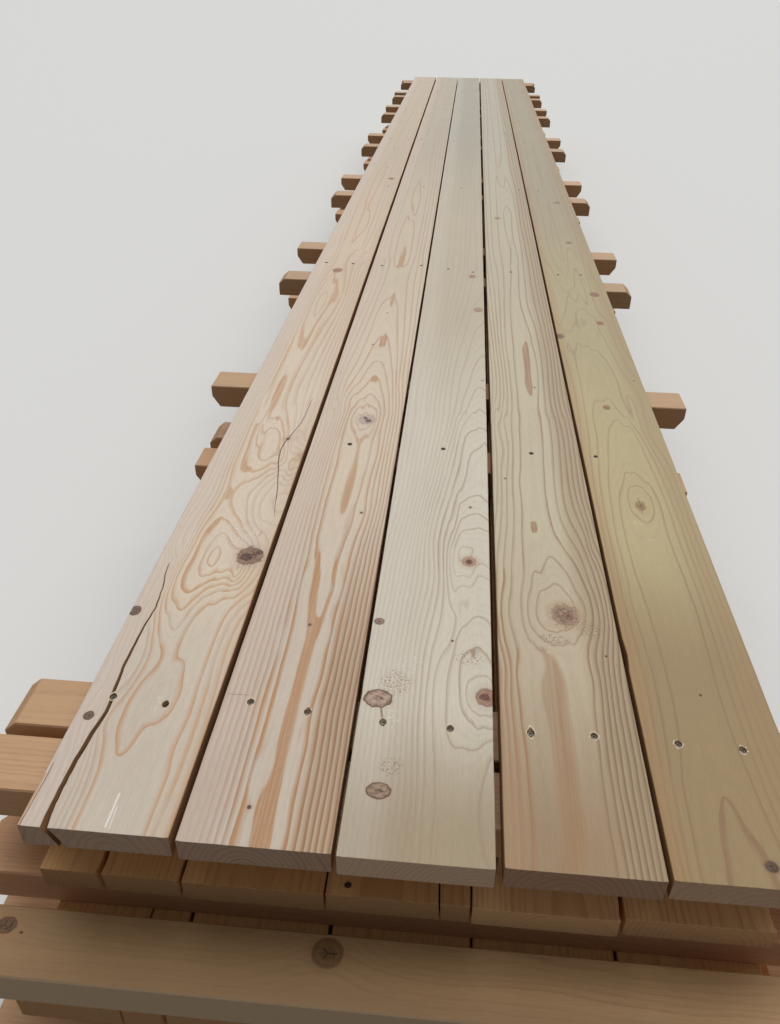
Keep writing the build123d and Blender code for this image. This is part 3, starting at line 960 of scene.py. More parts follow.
               knot(80, 852, 3.5, 1.2, knotHeart, colour=(110, 78, 68), dark=(70, 44, 38), cracks=0.9, rag=0.8,
                    halo=1.4),
               pin(74, 304, 2.4),
               pin(60, 42, 2.4),
               pin(108, 553, 2.6),
               pin(59, 1185, 2.6),
               pin(72, 1375, 2.4)],
     "lines": [scratch((3, 183), (27, 183.5), wide=0.7, colour=(150, 96, 78), amount=0.7, deep=0.3)],
     "screws": [screw(31, 174, 2.2, 0.2), screw(95, 166, 2.6, 0.4), screw(65, 755), screw(26, 1724), screw(130, 1738),
                screw(87, 2650)],
     "chips": [],
     "figure": [
        (10, .9, 16, 67, 0, 67, 20, 64, 40, 66, 58, 71, 78, 72, 95, 70, 145, 72, 280, 60, 420), (10, .85, 16, 90, 0,
         86, 120, 86, 270, 91, 332, 92, 420), (9.83, .95, 18, 78, 8, 77, 45, 78, 82, 78, 120, 78, 170, 78, 220, 78,
         258, 79, 285, 80, 305), (9.75, .8, 14, 72, 338, 69, 382), (9.35, .4, 83, 338, 82, 370, 79, 405), (10.3, .3,
         64, 195, 64, 258, 57, 345, 54, 395, 58, 70, 92, 195, 97, 295, 98, 370, 92, 95, 94, 20), (11, .85, 9, 49, 0,
         51, 195, 47, 420), (10.8, .8, 6, 54, 45, 54, 145, 54, 245, 52, 320), (12, .35, 43, 0, 43, 270, 39, 420), (13,
         .5, 36, 0, 36, 245, 32, 420), (14, .5, 28, 0, 29, 120, 25, 420), (15, .5, 22, 0, 22, 120, 18, 420), (16, .45,
         14, 0, 15, 120, 12, 420), (17, .4, 8, 0, 8, 420), (11, .8, 6, 104, 0, 104, 120, 102, 195, 104, 220, 104, 320,
         108, 420), (10.8, .8, 100, 45, 100, 120, 98, 185, 100, 245, 101, 320), (12, .7, 3.5, 112, 0, 112, 95, 110,
         170, 115, 420), (13, .7, 120, 0, 120, 95, 118, 170, 122, 420), (14, .7, 126, 0, 126, 95, 124, 170, 128, 420),
        (15, .8, 132, 0, 131, 170, 134, 420), (16, .8, 138, 0, 137, 170, 140, 420), (17, .7, 144, 0, 143, 170, 145,
         420), (10, .7, 7, 57, 440, 52, 483, 50, 583, 51, 683, 47, 833, 47, 900), (10, .6, 92, 440, 99, 540, 98, 567,
         100, 600, 104, 783, 107, 817, 107, 850, 102, 900), (9.4, .3, 73, 450, 74, 500, 65, 567, 95, 600, 63, 667, 95,
         700, 65, 750, 95, 750), (9, .55, 12, 81, 541, 75, 553, 73, 583, 77, 700, 74, 767, 69, 787, 63, 803, 57, 830,
         53, 860, 58, 883, 70, 895, 81, 897, 93, 890, 100, 873, 102, 847, 99, 820, 88, 783, 85, 760, 89, 617, 85,
         553), (8.83, .6, 14, 81, 560, 80, 600, 81, 633, 82, 683, 81, 733, 81, 767), (8, .4, 73, 800, 65, 827, 61,
         850, 66, 875, 80, 885, 93, 875, 97, 850, 94, 823, 86, 803), (11, .5, 47, 440, 43, 533, 40, 733, 41, 900),
        (12, .35, 39, 420, 35, 600, 35, 900), (13, .4, 32, 420, 29, 900), (15, .35, 19, 420, 17, 900), (17, .3, 7,
         420, 6, 900), (11, .7, 107, 420, 108, 467, 115, 550, 112, 617, 116, 733, 113, 817, 114, 860, 110, 900), (12,
         .5, 115, 420, 122, 567, 120, 617, 121, 800, 119, 900), (13, .6, 122, 420, 123, 467, 129, 583, 127, 667, 126,
         900), (14, .6, 129, 420, 130, 500, 133, 567, 132, 900), (15, .6, 135, 420, 139, 733, 138, 900), (16, .6, 141,
         420, 143, 900), (9, .6, 63, 891, 80, 910, 98, 887), (10, .6, 55, 891, 67, 929, 80, 946, 93, 929, 106, 891),
        (11, .7, 47, 891, 56, 960, 69, 1010, 81, 1033, 92, 1010, 115, 891), (10.8, .9, 14, 80, 1020, 79, 1029), (12,
         .5, 41, 891, 49, 991, 61, 1068, 79, 1097, 95, 1068, 109, 991, 122, 891), (13, .7, 36, 991, 58, 1175, 67,
         1222, 79, 1248, 89, 1222, 119, 991), (12.8, .9, 16, 78, 1202, 79, 1222), (14, .5, 38, 1145, 47, 1375, 70,
         1475, 76, 1537, 81, 1475, 92, 1429, 115, 1145), (13.75, .8, 14, 75, 1445, 76, 1468), (13.35, .3, 73, 1329,
         72, 1383), (14.35, .3, 75, 1583, 73, 1645), (14, .7, 53, 1760, 61, 1722, 72, 1708, 86, 1723, 96, 1760),
        (13.8, .8, 16, 73, 1729, 75, 1752), (15, .5, 27, 891, 41, 1568, 42, 1760), (15, .5, 130, 991, 107, 1529, 104,
         1645, 109, 1760), (16, .5, 18, 891, 29, 1760), (16, .5, 133, 1222, 122, 1606, 122, 1760), (17, .45, 7, 891,
         12, 1760), (17, .5, 141, 1222, 135, 1760), (14, .6, 51, 1800, 66, 2200, 77, 2278, 95, 1800), (14, .7, 55,
         2511, 62, 2378, 71, 2311, 82, 2267, 86, 2333, 88, 2444, 82, 2556, 64, 2733), (13.8, .7, 77, 2344), (15, .5,
         35, 1800, 35, 3067, 40, 3400), (15, .5, 111, 1800, 108, 2622, 95, 3067, 93, 3400), (16, .4, 17, 1800, 20,
         2511, 17, 3400), (17, .5, 131, 1800, 131, 2511, 124, 3400), (15, .5, 45, 4600, 48, 6000), (15, .5, 96, 4600,
         92, 6000), (17, .4, 18, 4600, 16, 6000), (17, .4, 128, 4600, 128, 6000),
     ]},
    {"pith": (132, -52), "spacing": 4.6, "wave": 9.0, "waveLong": 210.0, "shake": 1.2, "rise": 14.0, "driftU": 18.0,
     "early": (164, 146, 118), "late": (150, 118, 82), "lateFine": (150, 126, 104), "contrast": 0.62, "soft": 0.5,
     "figureAmount": 1.2, "gapShadeSide": "both", "endDark": (182, 150, 122), "endPale": (226, 198, 170),
     "paintedLightZones": [(20, 210, (206, 197, 179)), (700, 1500, (186, 173, 148)), (1900, 3900, (164, 158, 140))],
     "bands": [band(60, 20, 0.25, (208, 200, 188))],
     "knots": [knot(19.5, 194, 15.5, 0.84, knotDead),
               knot(32, 74, 12, 0.8, knotDead, colour=(160, 132, 106), dark=(104, 76, 54)),
               knot(8.5, 320, 6, 1.0, knotDead, colour=(150, 120, 100), dark=(86, 58, 44)),
               knot(117, 452, 10, 1.1, colour=(170, 128, 104), dark=(140, 92, 72), amount=0.8, edge=0.2, cracks=0.3,
                    halo=2.0),
               knot(117, 451, 5, 1.2, knotHeart, colour=(120, 68, 50), dark=(78, 40, 30), cracks=0.9),
               knot(138, 207, 12, 1.15, colour=(156, 116, 92), dark=(124, 78, 60), edge=0.35, cracks=0.5,
                    haloColour=(180, 152, 122)),
               knot(137, 207, 7.5, 0.7, knotHeart, colour=(112, 58, 44), dark=(60, 28, 22), rag=1.0, halo=1.2),
               knot(131, 1421, 9, 1.5, colour=(176, 136, 104), amount=0.7),
               knot(116, 1664, 8, 1.5, colour=(170, 130, 100), amount=0.7),
               pin(98.5, 294, 1.8),
               pin(118, 585, 2.4),
               pin(139, 1032, 2.4)],
     "torn": [tear(118, 266, 22, 14, 0.6, (140, 98, 74)),
              tear(36, 220, 22, 24, 0.75, (144, 104, 80)),
              tear(52, 250, 16, 26, 0.6, (232, 226, 212)),
              tear(42, 104, 15, 14, 0.75, (144, 104, 80)),
              tear(38, 167, 8, 20, 0.6, (236, 228, 210), "long")],
     "lines": [scratch((24, 181), (27, 165), wide=1.6, colour=(128, 96, 72), deep=0.6)],
     "screws": [screw(28, 161, 1.4, 0.4), screw(99.5, 159, 2.4, 0.2), screw(72, 757), screw(53, 1718),
                screw(118, 1700), screw(74, 2650)],
     "chips": [{"side": 0, "at": 196, "half": 12, "deep": 0.8}],
     "figure": [
        (8, .4, 144, 374, 132, 372, 116, 362, 106, 347, 100, 325, 99, 310, 95, 290, 86, 270, 80, 245, 78, 208, 79,
         170, 86, 70, 84, 0), (7, .5, 145, 332, 139, 340, 129, 344, 119, 337, 109, 322, 102, 300, 98, 270, 95, 245,
         93, 195, 94, 160, 99, 140, 106, 131, 119, 130, 132, 135, 141, 145), (6.85, .6, 133, 338), (6, .6, 145, 260,
         134, 282, 128, 286, 114, 275, 108, 260, 106, 240, 107, 215, 114, 180, 122, 170, 134, 165, 146, 168), (5.75,
         .7, 10, 128, 279, 124, 270), (5, .4, 144, 238, 132, 240, 122, 234, 115, 222, 114, 210, 116, 195, 122, 182,
         132, 175, 145, 172), (8, .5, 140, 0, 139, 108, 143, 125), (7.5, .3, 112, 95, 112, 45, 112, 8), (9, .45, 74,
         0, 74, 58, 70, 195, 72, 245, 80, 320, 83, 370, 83, 420), (10, .45, 66, 0, 68, 58, 64, 158, 64, 258, 74, 358,
         76, 420), (11, .3, 60, 0, 62, 70, 58, 170, 59, 270, 68, 370, 70, 420), (12, .25, 54, 0, 54, 120, 52, 195, 53,
         270, 56, 332, 63, 420), (14, .25, 42, 0, 42, 120, 40, 195, 41, 270, 49, 420), (16, .25, 29, 0, 29, 270, 36,
         420), (18, .25, 16, 0, 18, 270, 24, 420), (20, .25, 5, 0, 7, 270, 12, 420), (7, .4, 129, 420, 127, 410, 122,
         399, 109, 398, 102, 392, 100, 380), (7.8, .3, 134, 385, 112, 380), (6, .55, 99, 502, 122, 530, 134, 534, 145,
         528), (7, .55, 99, 533, 109, 557, 117, 567, 126, 570, 136, 565, 145, 553), (8, .6, 96, 533, 101, 597, 112,
         610, 127, 621, 136, 617, 145, 603), (5, .4, 102, 480, 109, 487, 126, 488, 145, 470), (5.7, .3, 96, 467, 99,
         427, 119, 420), (8.4, .3, 122, 647, 131, 667), (9, .6, 142, 792, 136, 777, 122, 757, 114, 733, 103, 633, 84,
         533, 81, 500, 82, 433), (10, .65, 145, 828, 136, 837, 126, 832, 116, 823, 107, 800, 96, 683, 76, 533, 73,
         483, 75, 433), (9.75, .6, 131, 825), (11, .35, 121, 900, 110, 873, 104, 850, 82, 650, 69, 550, 66, 483, 69,
         433), (12, .3, 103, 900, 96, 867, 81, 713, 62, 540, 60, 483, 62, 433), (14, .25, 82, 900, 72, 750, 50, 517,
         48, 433), (16, .25, 64, 900, 56, 700, 41, 517, 37, 433), (18, .25, 47, 900, 45, 767, 39, 633, 24, 433), (20,
         .25, 31, 900, 29, 733, 24, 600, 12, 433), (22, .25, 14, 900, 14, 733, 11, 600), (11, .5, 145, 891, 133, 914,
         123, 891), (12, .5, 147, 983, 135, 1002, 123, 987, 107, 891), (13, .4, 147, 1145, 110, 1006, 101, 945, 97,
         891), (12.8, .6, 143, 1122), (14, .35, 147, 1360, 120, 1268, 93, 1022, 86, 891), (15, .3, 145, 1575, 118,
         1437, 95, 1222, 78, 891), (16, .25, 126, 1760, 83, 1260, 73, 1106, 67, 891), (18, .2, 95, 1760, 68, 1298, 52,
         891), (20, .2, 63, 1760, 55, 1452, 43, 1145, 38, 891), (22, .2, 33, 1760, 18, 891), (15, .3, 144, 1800, 137,
         2067, 139, 2400, 131, 2733, 144, 3400), (17, .25, 102, 1800, 108, 2178, 104, 2622, 113, 3400), (20, .2, 62,
         1800, 73, 3400), (22, .2, 28, 1800, 35, 3400), (15, .3, 138, 6000), (17, .25, 112, 6000), (20, .2, 74, 6000),
        (22, .2, 38, 6000),
     ]},
    {"pith": (62, -40), "spacing": 6.0, "wave": 8.0, "waveLong": 330.0, "shake": 1.2, "rise": 12.0, "driftU": 12.0,
     "early": (154, 128, 96), "late": (152, 112, 70), "lateFine": (138, 104, 70), "contrast": 0.85, "soft": 0.35,
     "figureAmount": 1.6, "gapShadeSide": "both", "endDark": (144, 107, 84), "endPale": (190, 155, 128),
     "paintedLightZones": [(10, 280, (188, 172, 146)), (280, 620, (194, 182, 154)), (1100, 1700, (186, 176, 151)),
               (1900, 3900, (178, 171, 152))],
     "bands": [band(92, 116, 0.75, (168, 146, 113), late=(112, 82, 48)),
               # painted shade over the near left stretch
               band(30, 10, 0.4, (168, 134, 104), until=400)],
     "knots": [knot(84.5, 352, 18, colour=(156, 124, 102), dark=(108, 78, 62), amount=0.7, edge=0.0, cracks=0.5,
                    coreWide=1.3, rings=14.0, rag=0.7, halo=1.7),
               knot(88, 350, 7, 1.2, colour=(140, 98, 76), dark=(96, 58, 44), amount=0.7, edge=0.0, rag=0.8,
                    halo=1.5),
               knot(40, 2250, 9, 1.6, colour=(150, 112, 80), amount=0.6, edge=0.2, cracks=0.3),
               pin(126, 283, 1.6),
               pin(20, 671, 2.2),
               pin(85, 1010, 2.4)],
     "torn": [tear(68, 307, 24, 11, 0.8, (136, 96, 72)),
              tear(112, 329, 18, 18, 0.75, (136, 96, 72)),
              tear(50, 288, 13, 4, 0.45, (150, 112, 84)),
              tear(84, 350, 25, 30, 0.6, (112, 76, 60))],
     "screws": [screw(32, 159.5, 2.4, 0.8), screw(98, 161, 1.8), screw(65, 755), screw(64.5, 1710), screw(126, 2650)],
     "chips": [],
     "figure": [
        (10, .38, 24, 48, 0, 50, 70, 45, 208, 47, 240, 52, 270), (10, .35, 3.4, 50, 286, 42, 297, 34, 312, 30, 338,
         30, 370, 35, 420), (9.85, .36, 24, 60, 265, 55, 245, 52, 208, 56, 170, 57, 120, 60, 70, 57, 20), (9.6, .5,
         24, 72, 45, 72, 120, 71, 170, 71, 220, 68, 260), (9.3, .3, 86, 20, 86, 120, 84, 195, 83, 245), (9.2, .3, 60,
         294, 72, 288, 87, 290), (9, .4, 45, 405, 39, 380, 37, 350, 40, 325, 48, 309, 60, 300, 72, 300, 84, 304, 98,
         314, 108, 335, 112, 362, 108, 388, 102, 408), (8, .4, 57, 400, 51, 380, 48, 355, 51, 332, 60, 318, 72, 314,
         84, 319, 96, 332, 101, 358, 97, 382, 90, 398), (10, .6, 102, 0, 103, 145, 108, 245, 106, 265, 107, 285, 118,
         332, 121, 365, 120, 395, 116, 420), (9.8, .5, 98, 45, 99, 120, 101, 170, 102, 220), (11, .8, 6, 23, 0, 21,
         170, 18, 245, 22, 275), (11, .4, 21, 290, 16, 325, 14, 358, 20, 420), (10.8, .8, 28, 20, 28, 95, 26, 170, 23,
         220), (10.3, .3, 43, 45, 42, 120, 40, 195, 38, 245), (12, .85, 15, 0, 15, 70, 12, 208, 14, 245, 8, 290, 4,
         345, 10, 420), (13, .85, 8, 0, 7, 170, 5, 208, 6, 265, 0, 320), (14, .7, 2, 0, 0, 220), (11, .5, 111, 0, 110,
         95, 116, 250, 114, 270, 117, 295, 124, 320, 128, 358, 127, 395, 124, 420), (12, .55, 117, 0, 116, 95, 118,
         170, 123, 280, 134, 345, 132, 420), (13, .55, 123, 0, 123, 120, 125, 195, 131, 295, 138, 345, 139, 420), (14,
         .55, 130, 0, 130, 120, 132, 220, 134, 270, 140, 320), (15, .55, 135, 0, 138, 220, 141, 270), (16, .5, 141, 0,
         144, 195), (9, .45, 47, 428, 59, 432, 101, 418), (9.35, .3, 64, 500, 65, 583, 62, 667, 65, 767, 67, 867),
        (9.93, .7, 12, 57, 550, 57, 535), (9.35, .3, 57, 567, 48, 547, 68, 547, 57, 513), (10, .5, 37, 467, 40, 567,
         40, 667, 43, 700, 47, 800, 48, 900), (10, .6, 110, 453, 86, 533, 82, 583, 87, 900), (9.75, .5, 47, 607, 50,
         667, 77, 640, 79, 713), (11, .4, 121, 453, 111, 507, 99, 560, 96, 617, 101, 900), (12, .5, 130, 453, 122,
         510, 111, 563, 108, 617, 112, 900), (13, .5, 137, 453, 130, 523, 122, 583, 119, 650, 121, 900), (14, .5, 142,
         453, 134, 500, 127, 633, 129, 900), (15, .5, 142, 500, 135, 633, 137, 900), (16, .5, 144, 567, 141, 633, 143,
         900), (11, .35, 21, 453, 28, 567, 37, 900), (12, .35, 10, 453, 18, 567, 22, 700, 26, 767, 28, 900), (13, .35,
         2, 467, 10, 567, 13, 700, 18, 767, 20, 900), (14, .3, 1, 550, 13, 900), (15, .3, 0, 700, 5, 900), (10, .5,
         51, 891, 51, 1222, 63, 1683, 61, 1760), (10, .6, 91, 891, 94, 1222, 91, 1314, 80, 1468, 86, 1683, 85, 1760),
        (9.93, .9, 12, 75, 1033, 77, 1106, 79, 1191), (9.4, .3, 66, 929, 65, 1106, 86, 1068, 88, 1183, 74, 1298, 72,
         1452), (11, .4, 35, 891, 35, 1222, 43, 1760), (12, .35, 21, 891, 26, 1760), (13, .35, 8, 891, 11, 1760), (11,
         .5, 105, 891, 108, 1145, 106, 1329, 97, 1452, 100, 1760), (12, .5, 117, 891, 120, 1145, 114, 1760), (14, .5,
         134, 891, 134, 1760), (16, .5, 146, 891, 146, 1760), (10, .5, 67, 1800, 65, 1989, 74, 2011, 83, 2122, 85,
         2233, 90, 1800), (10, .4, 61, 2344, 74, 2422, 90, 2267), (11, .4, 41, 1800, 39, 2289, 43, 2733, 54, 2956, 61,
         2711, 72, 2689, 79, 2844, 65, 3033), (12, .35, 21, 1800, 21, 3400), (12, .5, 115, 1800, 112, 2178, 116, 2622,
         107, 3067, 110, 3400), (14, .45, 134, 1800, 132, 3400), (11, .4, 50, 4600, 46, 6000), (11, .4, 88, 4600, 92,
         6000), (14, .4, 126, 4600, 128, 6000), (13, .35, 14, 4600, 14, 6000),
     ]},
    {"pith": (86, -62), "spacing": 7.2, "wave": 12.0, "waveLong": 520.0, "shake": 1.0, "rise": 26.0, "driftU": 26.0,
     "early": (154, 130, 90), "late": (140, 106, 64), "lateFine": (132, 100, 62), "contrast": 0.55, "soft": 0.5,
     "figureAmount": 1.7, "gapShadeSide": "left", "endDark": (172, 137, 110), "endPale": (216, 184, 154),
     "paintedLightZones": [(250, 560, (184, 168, 124)), (700, 1300, (173, 159, 119)), (1500, 2600, (160, 148, 120))],
     "bands": [band(24, 4, 0.45, (164, 124, 76)),
               band(96, 130, 0.5, (156, 128, 88))],
     "knots": [knot(70, 611, 8, 1.7, colour=(160, 128, 84), dark=(110, 80, 50), edge=0.2, cracks=1.0, rag=0.9,
                    haloColour=(184, 158, 100)),
               knot(62, 937, 6, 1.4, colour=(150, 108, 72), cracks=0.5),
               knot(113, 1556, 11, 1.4, colour=(150, 104, 72)),
               knot(103, 1364, 8, 1.4, colour=(150, 104, 72)),
               knot(5.5, 1275, 9, 1.5, colour=(120, 82, 58)),
               knot(97, 2478, 9, 1.5, colour=(150, 108, 80)),
               knot(91, 2000, 8, 1.5, colour=(150, 108, 80)),
               knot(90.5, 22, 5.5, 1.0, colour=(84, 52, 24), dark=(38, 20, 8), edge=0.8, edgeWide=0.3, rings=9.0,
                    haloAmount=0.5, haloColour=(126, 94, 56)),
               pin(73.5, 229, 2.0),
               pin(130, 1060, 2.2)],
     "torn": [tear(58, 565, 9, 10, 0.7, (226, 214, 176), "long"),
              tear(70, 526, 7, 9, 0.7, (226, 214, 176), "long")],
     "lines": [scratch((70, 590), (70, 634), wide=0.8, colour=(110, 78, 50), wander=1.5, amount=0.7, deep=1.0)],
     "screws": [screw(35, 157, 1.8, 0.2), screw(100, 155.5, 1.8, 0.2), screw(21, 754), screw(36, 1700),
                screw(95.5, 1706), screw(42, 2640)],
     "chips": [{"side": 0, "at": 286, "half": 22, "deep": 2.4}],
     "figure": [
        (10, .6, 9, 49, 30, 52, 62, 58, 80, 69, 96, 78, 65, 90, 36), (9.8, .6, 67, 85), (9.4, .3, 68, 45, 63, 15),
        (10.4, .3, 68, 120, 63, 170, 73, 220, 68, 295, 68, 370), (11, .4, 24, 5, 28, 108, 35, 158, 37, 420), (12, .3,
         14, 5, 17, 95, 20, 395, 22, 420), (13, .5, 8, 5, 12, 170, 12, 345, 10, 420), (14, .3, 2, 5, 5, 245, 4, 370),
        (11, .45, 106, 45, 99, 120, 102, 370, 101, 420), (12, .35, 113, 58, 110, 108, 109, 170, 112, 420), (13, .4,
         120, 95, 118, 132, 118, 195, 121, 420), (14, .35, 128, 132, 126, 195, 129, 420), (15, .35, 134, 195, 137,
         420), (10.5, .3, 68, 433, 70, 500), (10, .35, 70, 567, 60, 583, 53, 613, 54, 647, 61, 667, 72, 673, 83, 667,
         90, 643, 91, 617, 85, 583, 78, 570), (9.3, .3, 73, 617), (10.5, .3, 72, 687), (11, .35, 53, 673, 57, 693, 70,
         703, 82, 697, 89, 680), (11, .35, 35, 433, 34, 500, 40, 633, 48, 660), (11, .4, 101, 433, 99, 567, 101, 617,
         98, 660), (11.4, .3, 68, 740, 70, 800), (12, .3, 22, 433, 22, 533, 26, 617, 41, 767, 48, 817, 56, 860, 66,
         883, 78, 893, 91, 883, 98, 857, 110, 667, 112, 600, 112, 433), (13, .35, 11, 433, 12, 567, 16, 667, 30, 833,
         32, 900), (13, .35, 121, 433, 120, 667, 115, 767, 112, 900), (14, .3, 4, 433, 5, 600, 19, 900), (14, .35,
         129, 433, 129, 700, 123, 900), (15, .3, 136, 433, 137, 600, 134, 900), (13, .3, 31, 891, 39, 945, 57, 960,
         79, 945, 90, 891), (13.3, .3, 63, 1029, 63, 1145), (14, .35, 19, 891, 26, 1145, 21, 1206, 9, 1237, 2, 1245),
        (14, .35, 102, 891, 99, 1068, 90, 1160, 75, 1214, 57, 1229, 40, 1252, 21, 1268), (15, .3, 6, 891, 8, 1106, 3,
         1191), (15, .35, 117, 891, 114, 1106, 106, 1222, 90, 1283, 71, 1298, 52, 1329, 48, 1375, 52, 1422, 71, 1445,
         90, 1422, 98, 1383), (14, .3, 71, 1329, 60, 1368, 63, 1406, 77, 1414), (16, .35, 129, 891, 121, 1375, 109,
         1437, 86, 1475, 62, 1491, 46, 1529, 48, 1575, 65, 1598, 90, 1583), (16, .3, 11, 1329, 21, 1760), (15, .3, 29,
         1298, 39, 1760), (17, .35, 136, 1222, 132, 1645, 125, 1760), (16, .3, 90, 1645, 86, 1760), (15, .3, 33, 1800,
         33, 2289, 27, 2733, 36, 3400), (16, .3, 12, 1800, 14, 3400), (14, .3, 61, 1800, 67, 2067, 61, 2400, 65, 2733,
         61, 3067, 65, 3400), (15, .3, 101, 1800, 105, 2178, 101, 2622, 105, 3400), (17, .35, 132, 1800, 134, 3400),
        (15, .3, 36, 6000), (15, .3, 106, 6000), (17, .3, 136, 6000), (14, .3, 70, 6000),
     ]},
]
farRows = {      # batten rows too far off to be told apart: two screws a board, mm
    "at": (3583, 4522, 5228, 5935), "left": (24, 44), "right": (98, 122), "spread": 9,
}


def addTopBoards():
    rng = random.Random(5)
    heads, lips = ([], []), ([], [])
    for number, spec in enumerate(topBoards, 1):
        node = "panel_1_board_%d" % number
        low, high, size = boxOf(node)
        material = wood("topBoard%d" % number, spec)
        outline, lean = boardOutline(size[0], size[1], number, spec.get("split"), spec["chips"])
        vertices, faces = prism(outline, size[2], 0.7, lean)
        fillTop(vertices, faces, len(outline), size[2])
        obj = makeObject("top_board_%d" % number, placed(low, vertices), faces, material, "pale_board")
        screws = list(spec["screws"])
        for row in farRows["at"]:
            for side in ("left", "right"):
                u = rng.uniform(*farRows[side])
                screws.append(screw(u, row + rng.uniform(-farRows["spread"], farRows["spread"])))
        places = screwPlaces(low, screws)
        cutPits(obj, places, screwSpec, high[2])
        corner = (low[0], low[1], high[2])
        local = [[(v.co[k] - corner[k]) / mm for k in range(3)] for v in obj.data.vertices]
        writeGrain(obj.data, local, [(0.0, 0.5, number * 0.37)] * len(local))
        writeFigure(obj.data, local, spec)
        writeKnots(obj.data, local, spec["knots"])
        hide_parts(node)
        addScrews(heads, lips, places, screwSpec, high[2], rng)
    makeObject("screw_heads", *heads, screwMaterial(), "pale_board")
    makeObject("screw_lips", *lips, lipMaterial(), "pale_board")


addTopBoards()
print("top boards and screws")


# the other panels' boards

stackWood = {
    "pith": (0, 0), "spacing": 5.2, "wave": 8.0, "waveLong": 260.0, "shake": 1.2, "rise": 10.0, "driftU": 12.0,
    "early": (218, 168, 110), "earlyToo": (246, 200, 146), "late": (180, 124, 74), "contrast": 0.42, "soft": 0.4,
    "endDark": (134, 96, 62), "endPale": (182, 140, 98), "endLift": 0.6,
}
stackSplits = {
    "panel_3_board_1": {"lean": 3, "rough": 1.4, "path": [(62, 0, 6), (65, 180, 4.5), (60, 420, 2.5), (63, 640, 0.6)]},
    "panel_3_board_3": {"lean": 2, "rough": 0.8, "path": [(114, 0, 2), (112, 110, 1.4), (113, 260, 0.6)]},
    "panel_4_board_1": {"lean": 0, "rough": 1.2, "path": [(105, 0, 2.5), (103, 150, 1.8), (106, 330, 0.6)]},
}
# these two boards on the stack's right side are paler: painted light from the right
stackLitPale = ("panel_3_board_4", "panel_3_board_5")
stackScrews = {"panel_3_board_3": [screw(21.6, 13, 3.0)]}
stackChips = {
    "panel_3_board_5": [{"side": 1, "at": 8, "half": 40, "deep": 3.2}],
    "panel_3_board_4": [{"side": 1, "at": 4, "half": 9, "deep": 1.6}],
}


def addStackBoards():
    rng = random.Random(11)
    material = wood("stackWood", stackWood)
    for panel in range(2, 9):
        for number in range(1, 6):
            node = "panel_%d_board_%d" % (panel, number)
            low, high, size = boxOf(node)
            split, chips = stackSplits.get(node), stackChips.get(node, [])
            outline, lean = boardOutline(size[0], size[1], panel * 7 + number, split, chips)
            vertices, faces = prism(outline, size[2], 1.1, lean)
            obj = makeObject(node + "_wood", placed(low, vertices), faces, material, "stacked_board")
            pith = (size[0] / 2 + rng.uniform(-40, 40), 0.0, size[2] - rng.uniform(30, 90))
            # the boards listed as pale get a paler tone: painted light
            look = (rng.random() * 0.3 + (0.7 if node in stackLitPale else 0.0), rng.random(), rng.uniform(0, 8))
            if node in stackScrews:
                places = screwPlaces(low, stackScrews[node])
                cutPits(obj, places, screwSpec, high[2])
                heads = ([], [])
                addScrews(heads, ([], []), places, screwSpec, high[2], rng)
                makeObject(node + "_screws", *heads, bpy.data.materials["screwSteel"], "stacked_board")
            grains = [[(v.co[k] - low[k]) / mm - pith[k] for k in range(3)] for v in obj.data.vertices]
            writeGrain(obj.data, grains, [look] * len(grains))
            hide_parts(node)


addStackBoards()
print("stacked boards")


# battens, each with its sawn corners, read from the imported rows

battenWood = {
    "pith": (0, 0), "spacing": 4.6, "wave": 7.0, "waveLong": 200.0, "shake": 1.0, "rise": 8.0, "driftU": 10.0,
    # earlyToo is the paler, redder end of the tone: random for the upper battens, painted bounce light for the lower
    # ones
    "early": (180, 147, 110), "earlyToo": (214, 164, 121), "late": (156, 112, 74), "contrast": 0.4, "soft": 0.4,
    "flecks": 0.15, "endDark": (150, 116, 86), "endPale": (196, 164, 130), "alongY": False,
}
frontBatten = {      # the one that shows its whole top; places: mm from the rear edge, then from the left end
    **battenWood,
    # the colour for the long side towards the camera is painted light from the front
    "sawn": (204, 180, 149), "early": (206, 165, 118), "earlyToo": (206, 165, 118), "late": (146, 108, 70),
    "contrast": 0.3, "spacing": 9.0, "wave": 26.0, "waveLong": 160.0, "rise": 20.0, "soft": 0.5,
    "bands": [band(-9, -6, 1.0, (168, 133, 91), late=(146, 108, 70), until=800),
              band(40, 68, 0.6, (150, 117, 79))],
    "knots": [knot(19, 391, 15, 1.03, push=1.6, colour=(128, 92, 52), dark=(98, 66, 34), edge=0.4, edgeWide=0.1,
                   rings=7.0, cracks=0.0, halo=1.7, haloAmount=0.3, haloColour=(146, 106, 66), rag=0.15),
              knot(21, 69, 9, 1.2, push=1.4, colour=(122, 84, 52), dark=(78, 48, 30), edge=0.3, cracks=0.7,
                   coreWide=1.0, rag=0.4),
              pin(27, 87, 1.8)],
    "lines": [scratch(*path, wide=wide, colour=colour, wander=1.5, amount=0.9) for wide, colour, path in (
        (0.7, (46, 28, 18), ((14, 386), (19, 391))), (0.8, (46, 28, 18), ((19, 391), (19, 401))),
        (0.7, (46, 28, 18), ((19, 391), (25, 387))), (0.5, (60, 38, 24), ((14, 397), (24, 398))))],
}
battenForm = {      # mm; up and down: the height of the sawn corner where the panel's boards are up or down
    "along": 15.0, "up": 13.0, "down": 22.0, "ease": 1.6, "sideEase": 0.8, "count": 22,
    "in": 0.12, "wave": 0.25, "waveLong": 60.0, "ripple": 0.12, "rippleLong": 11.0,
}


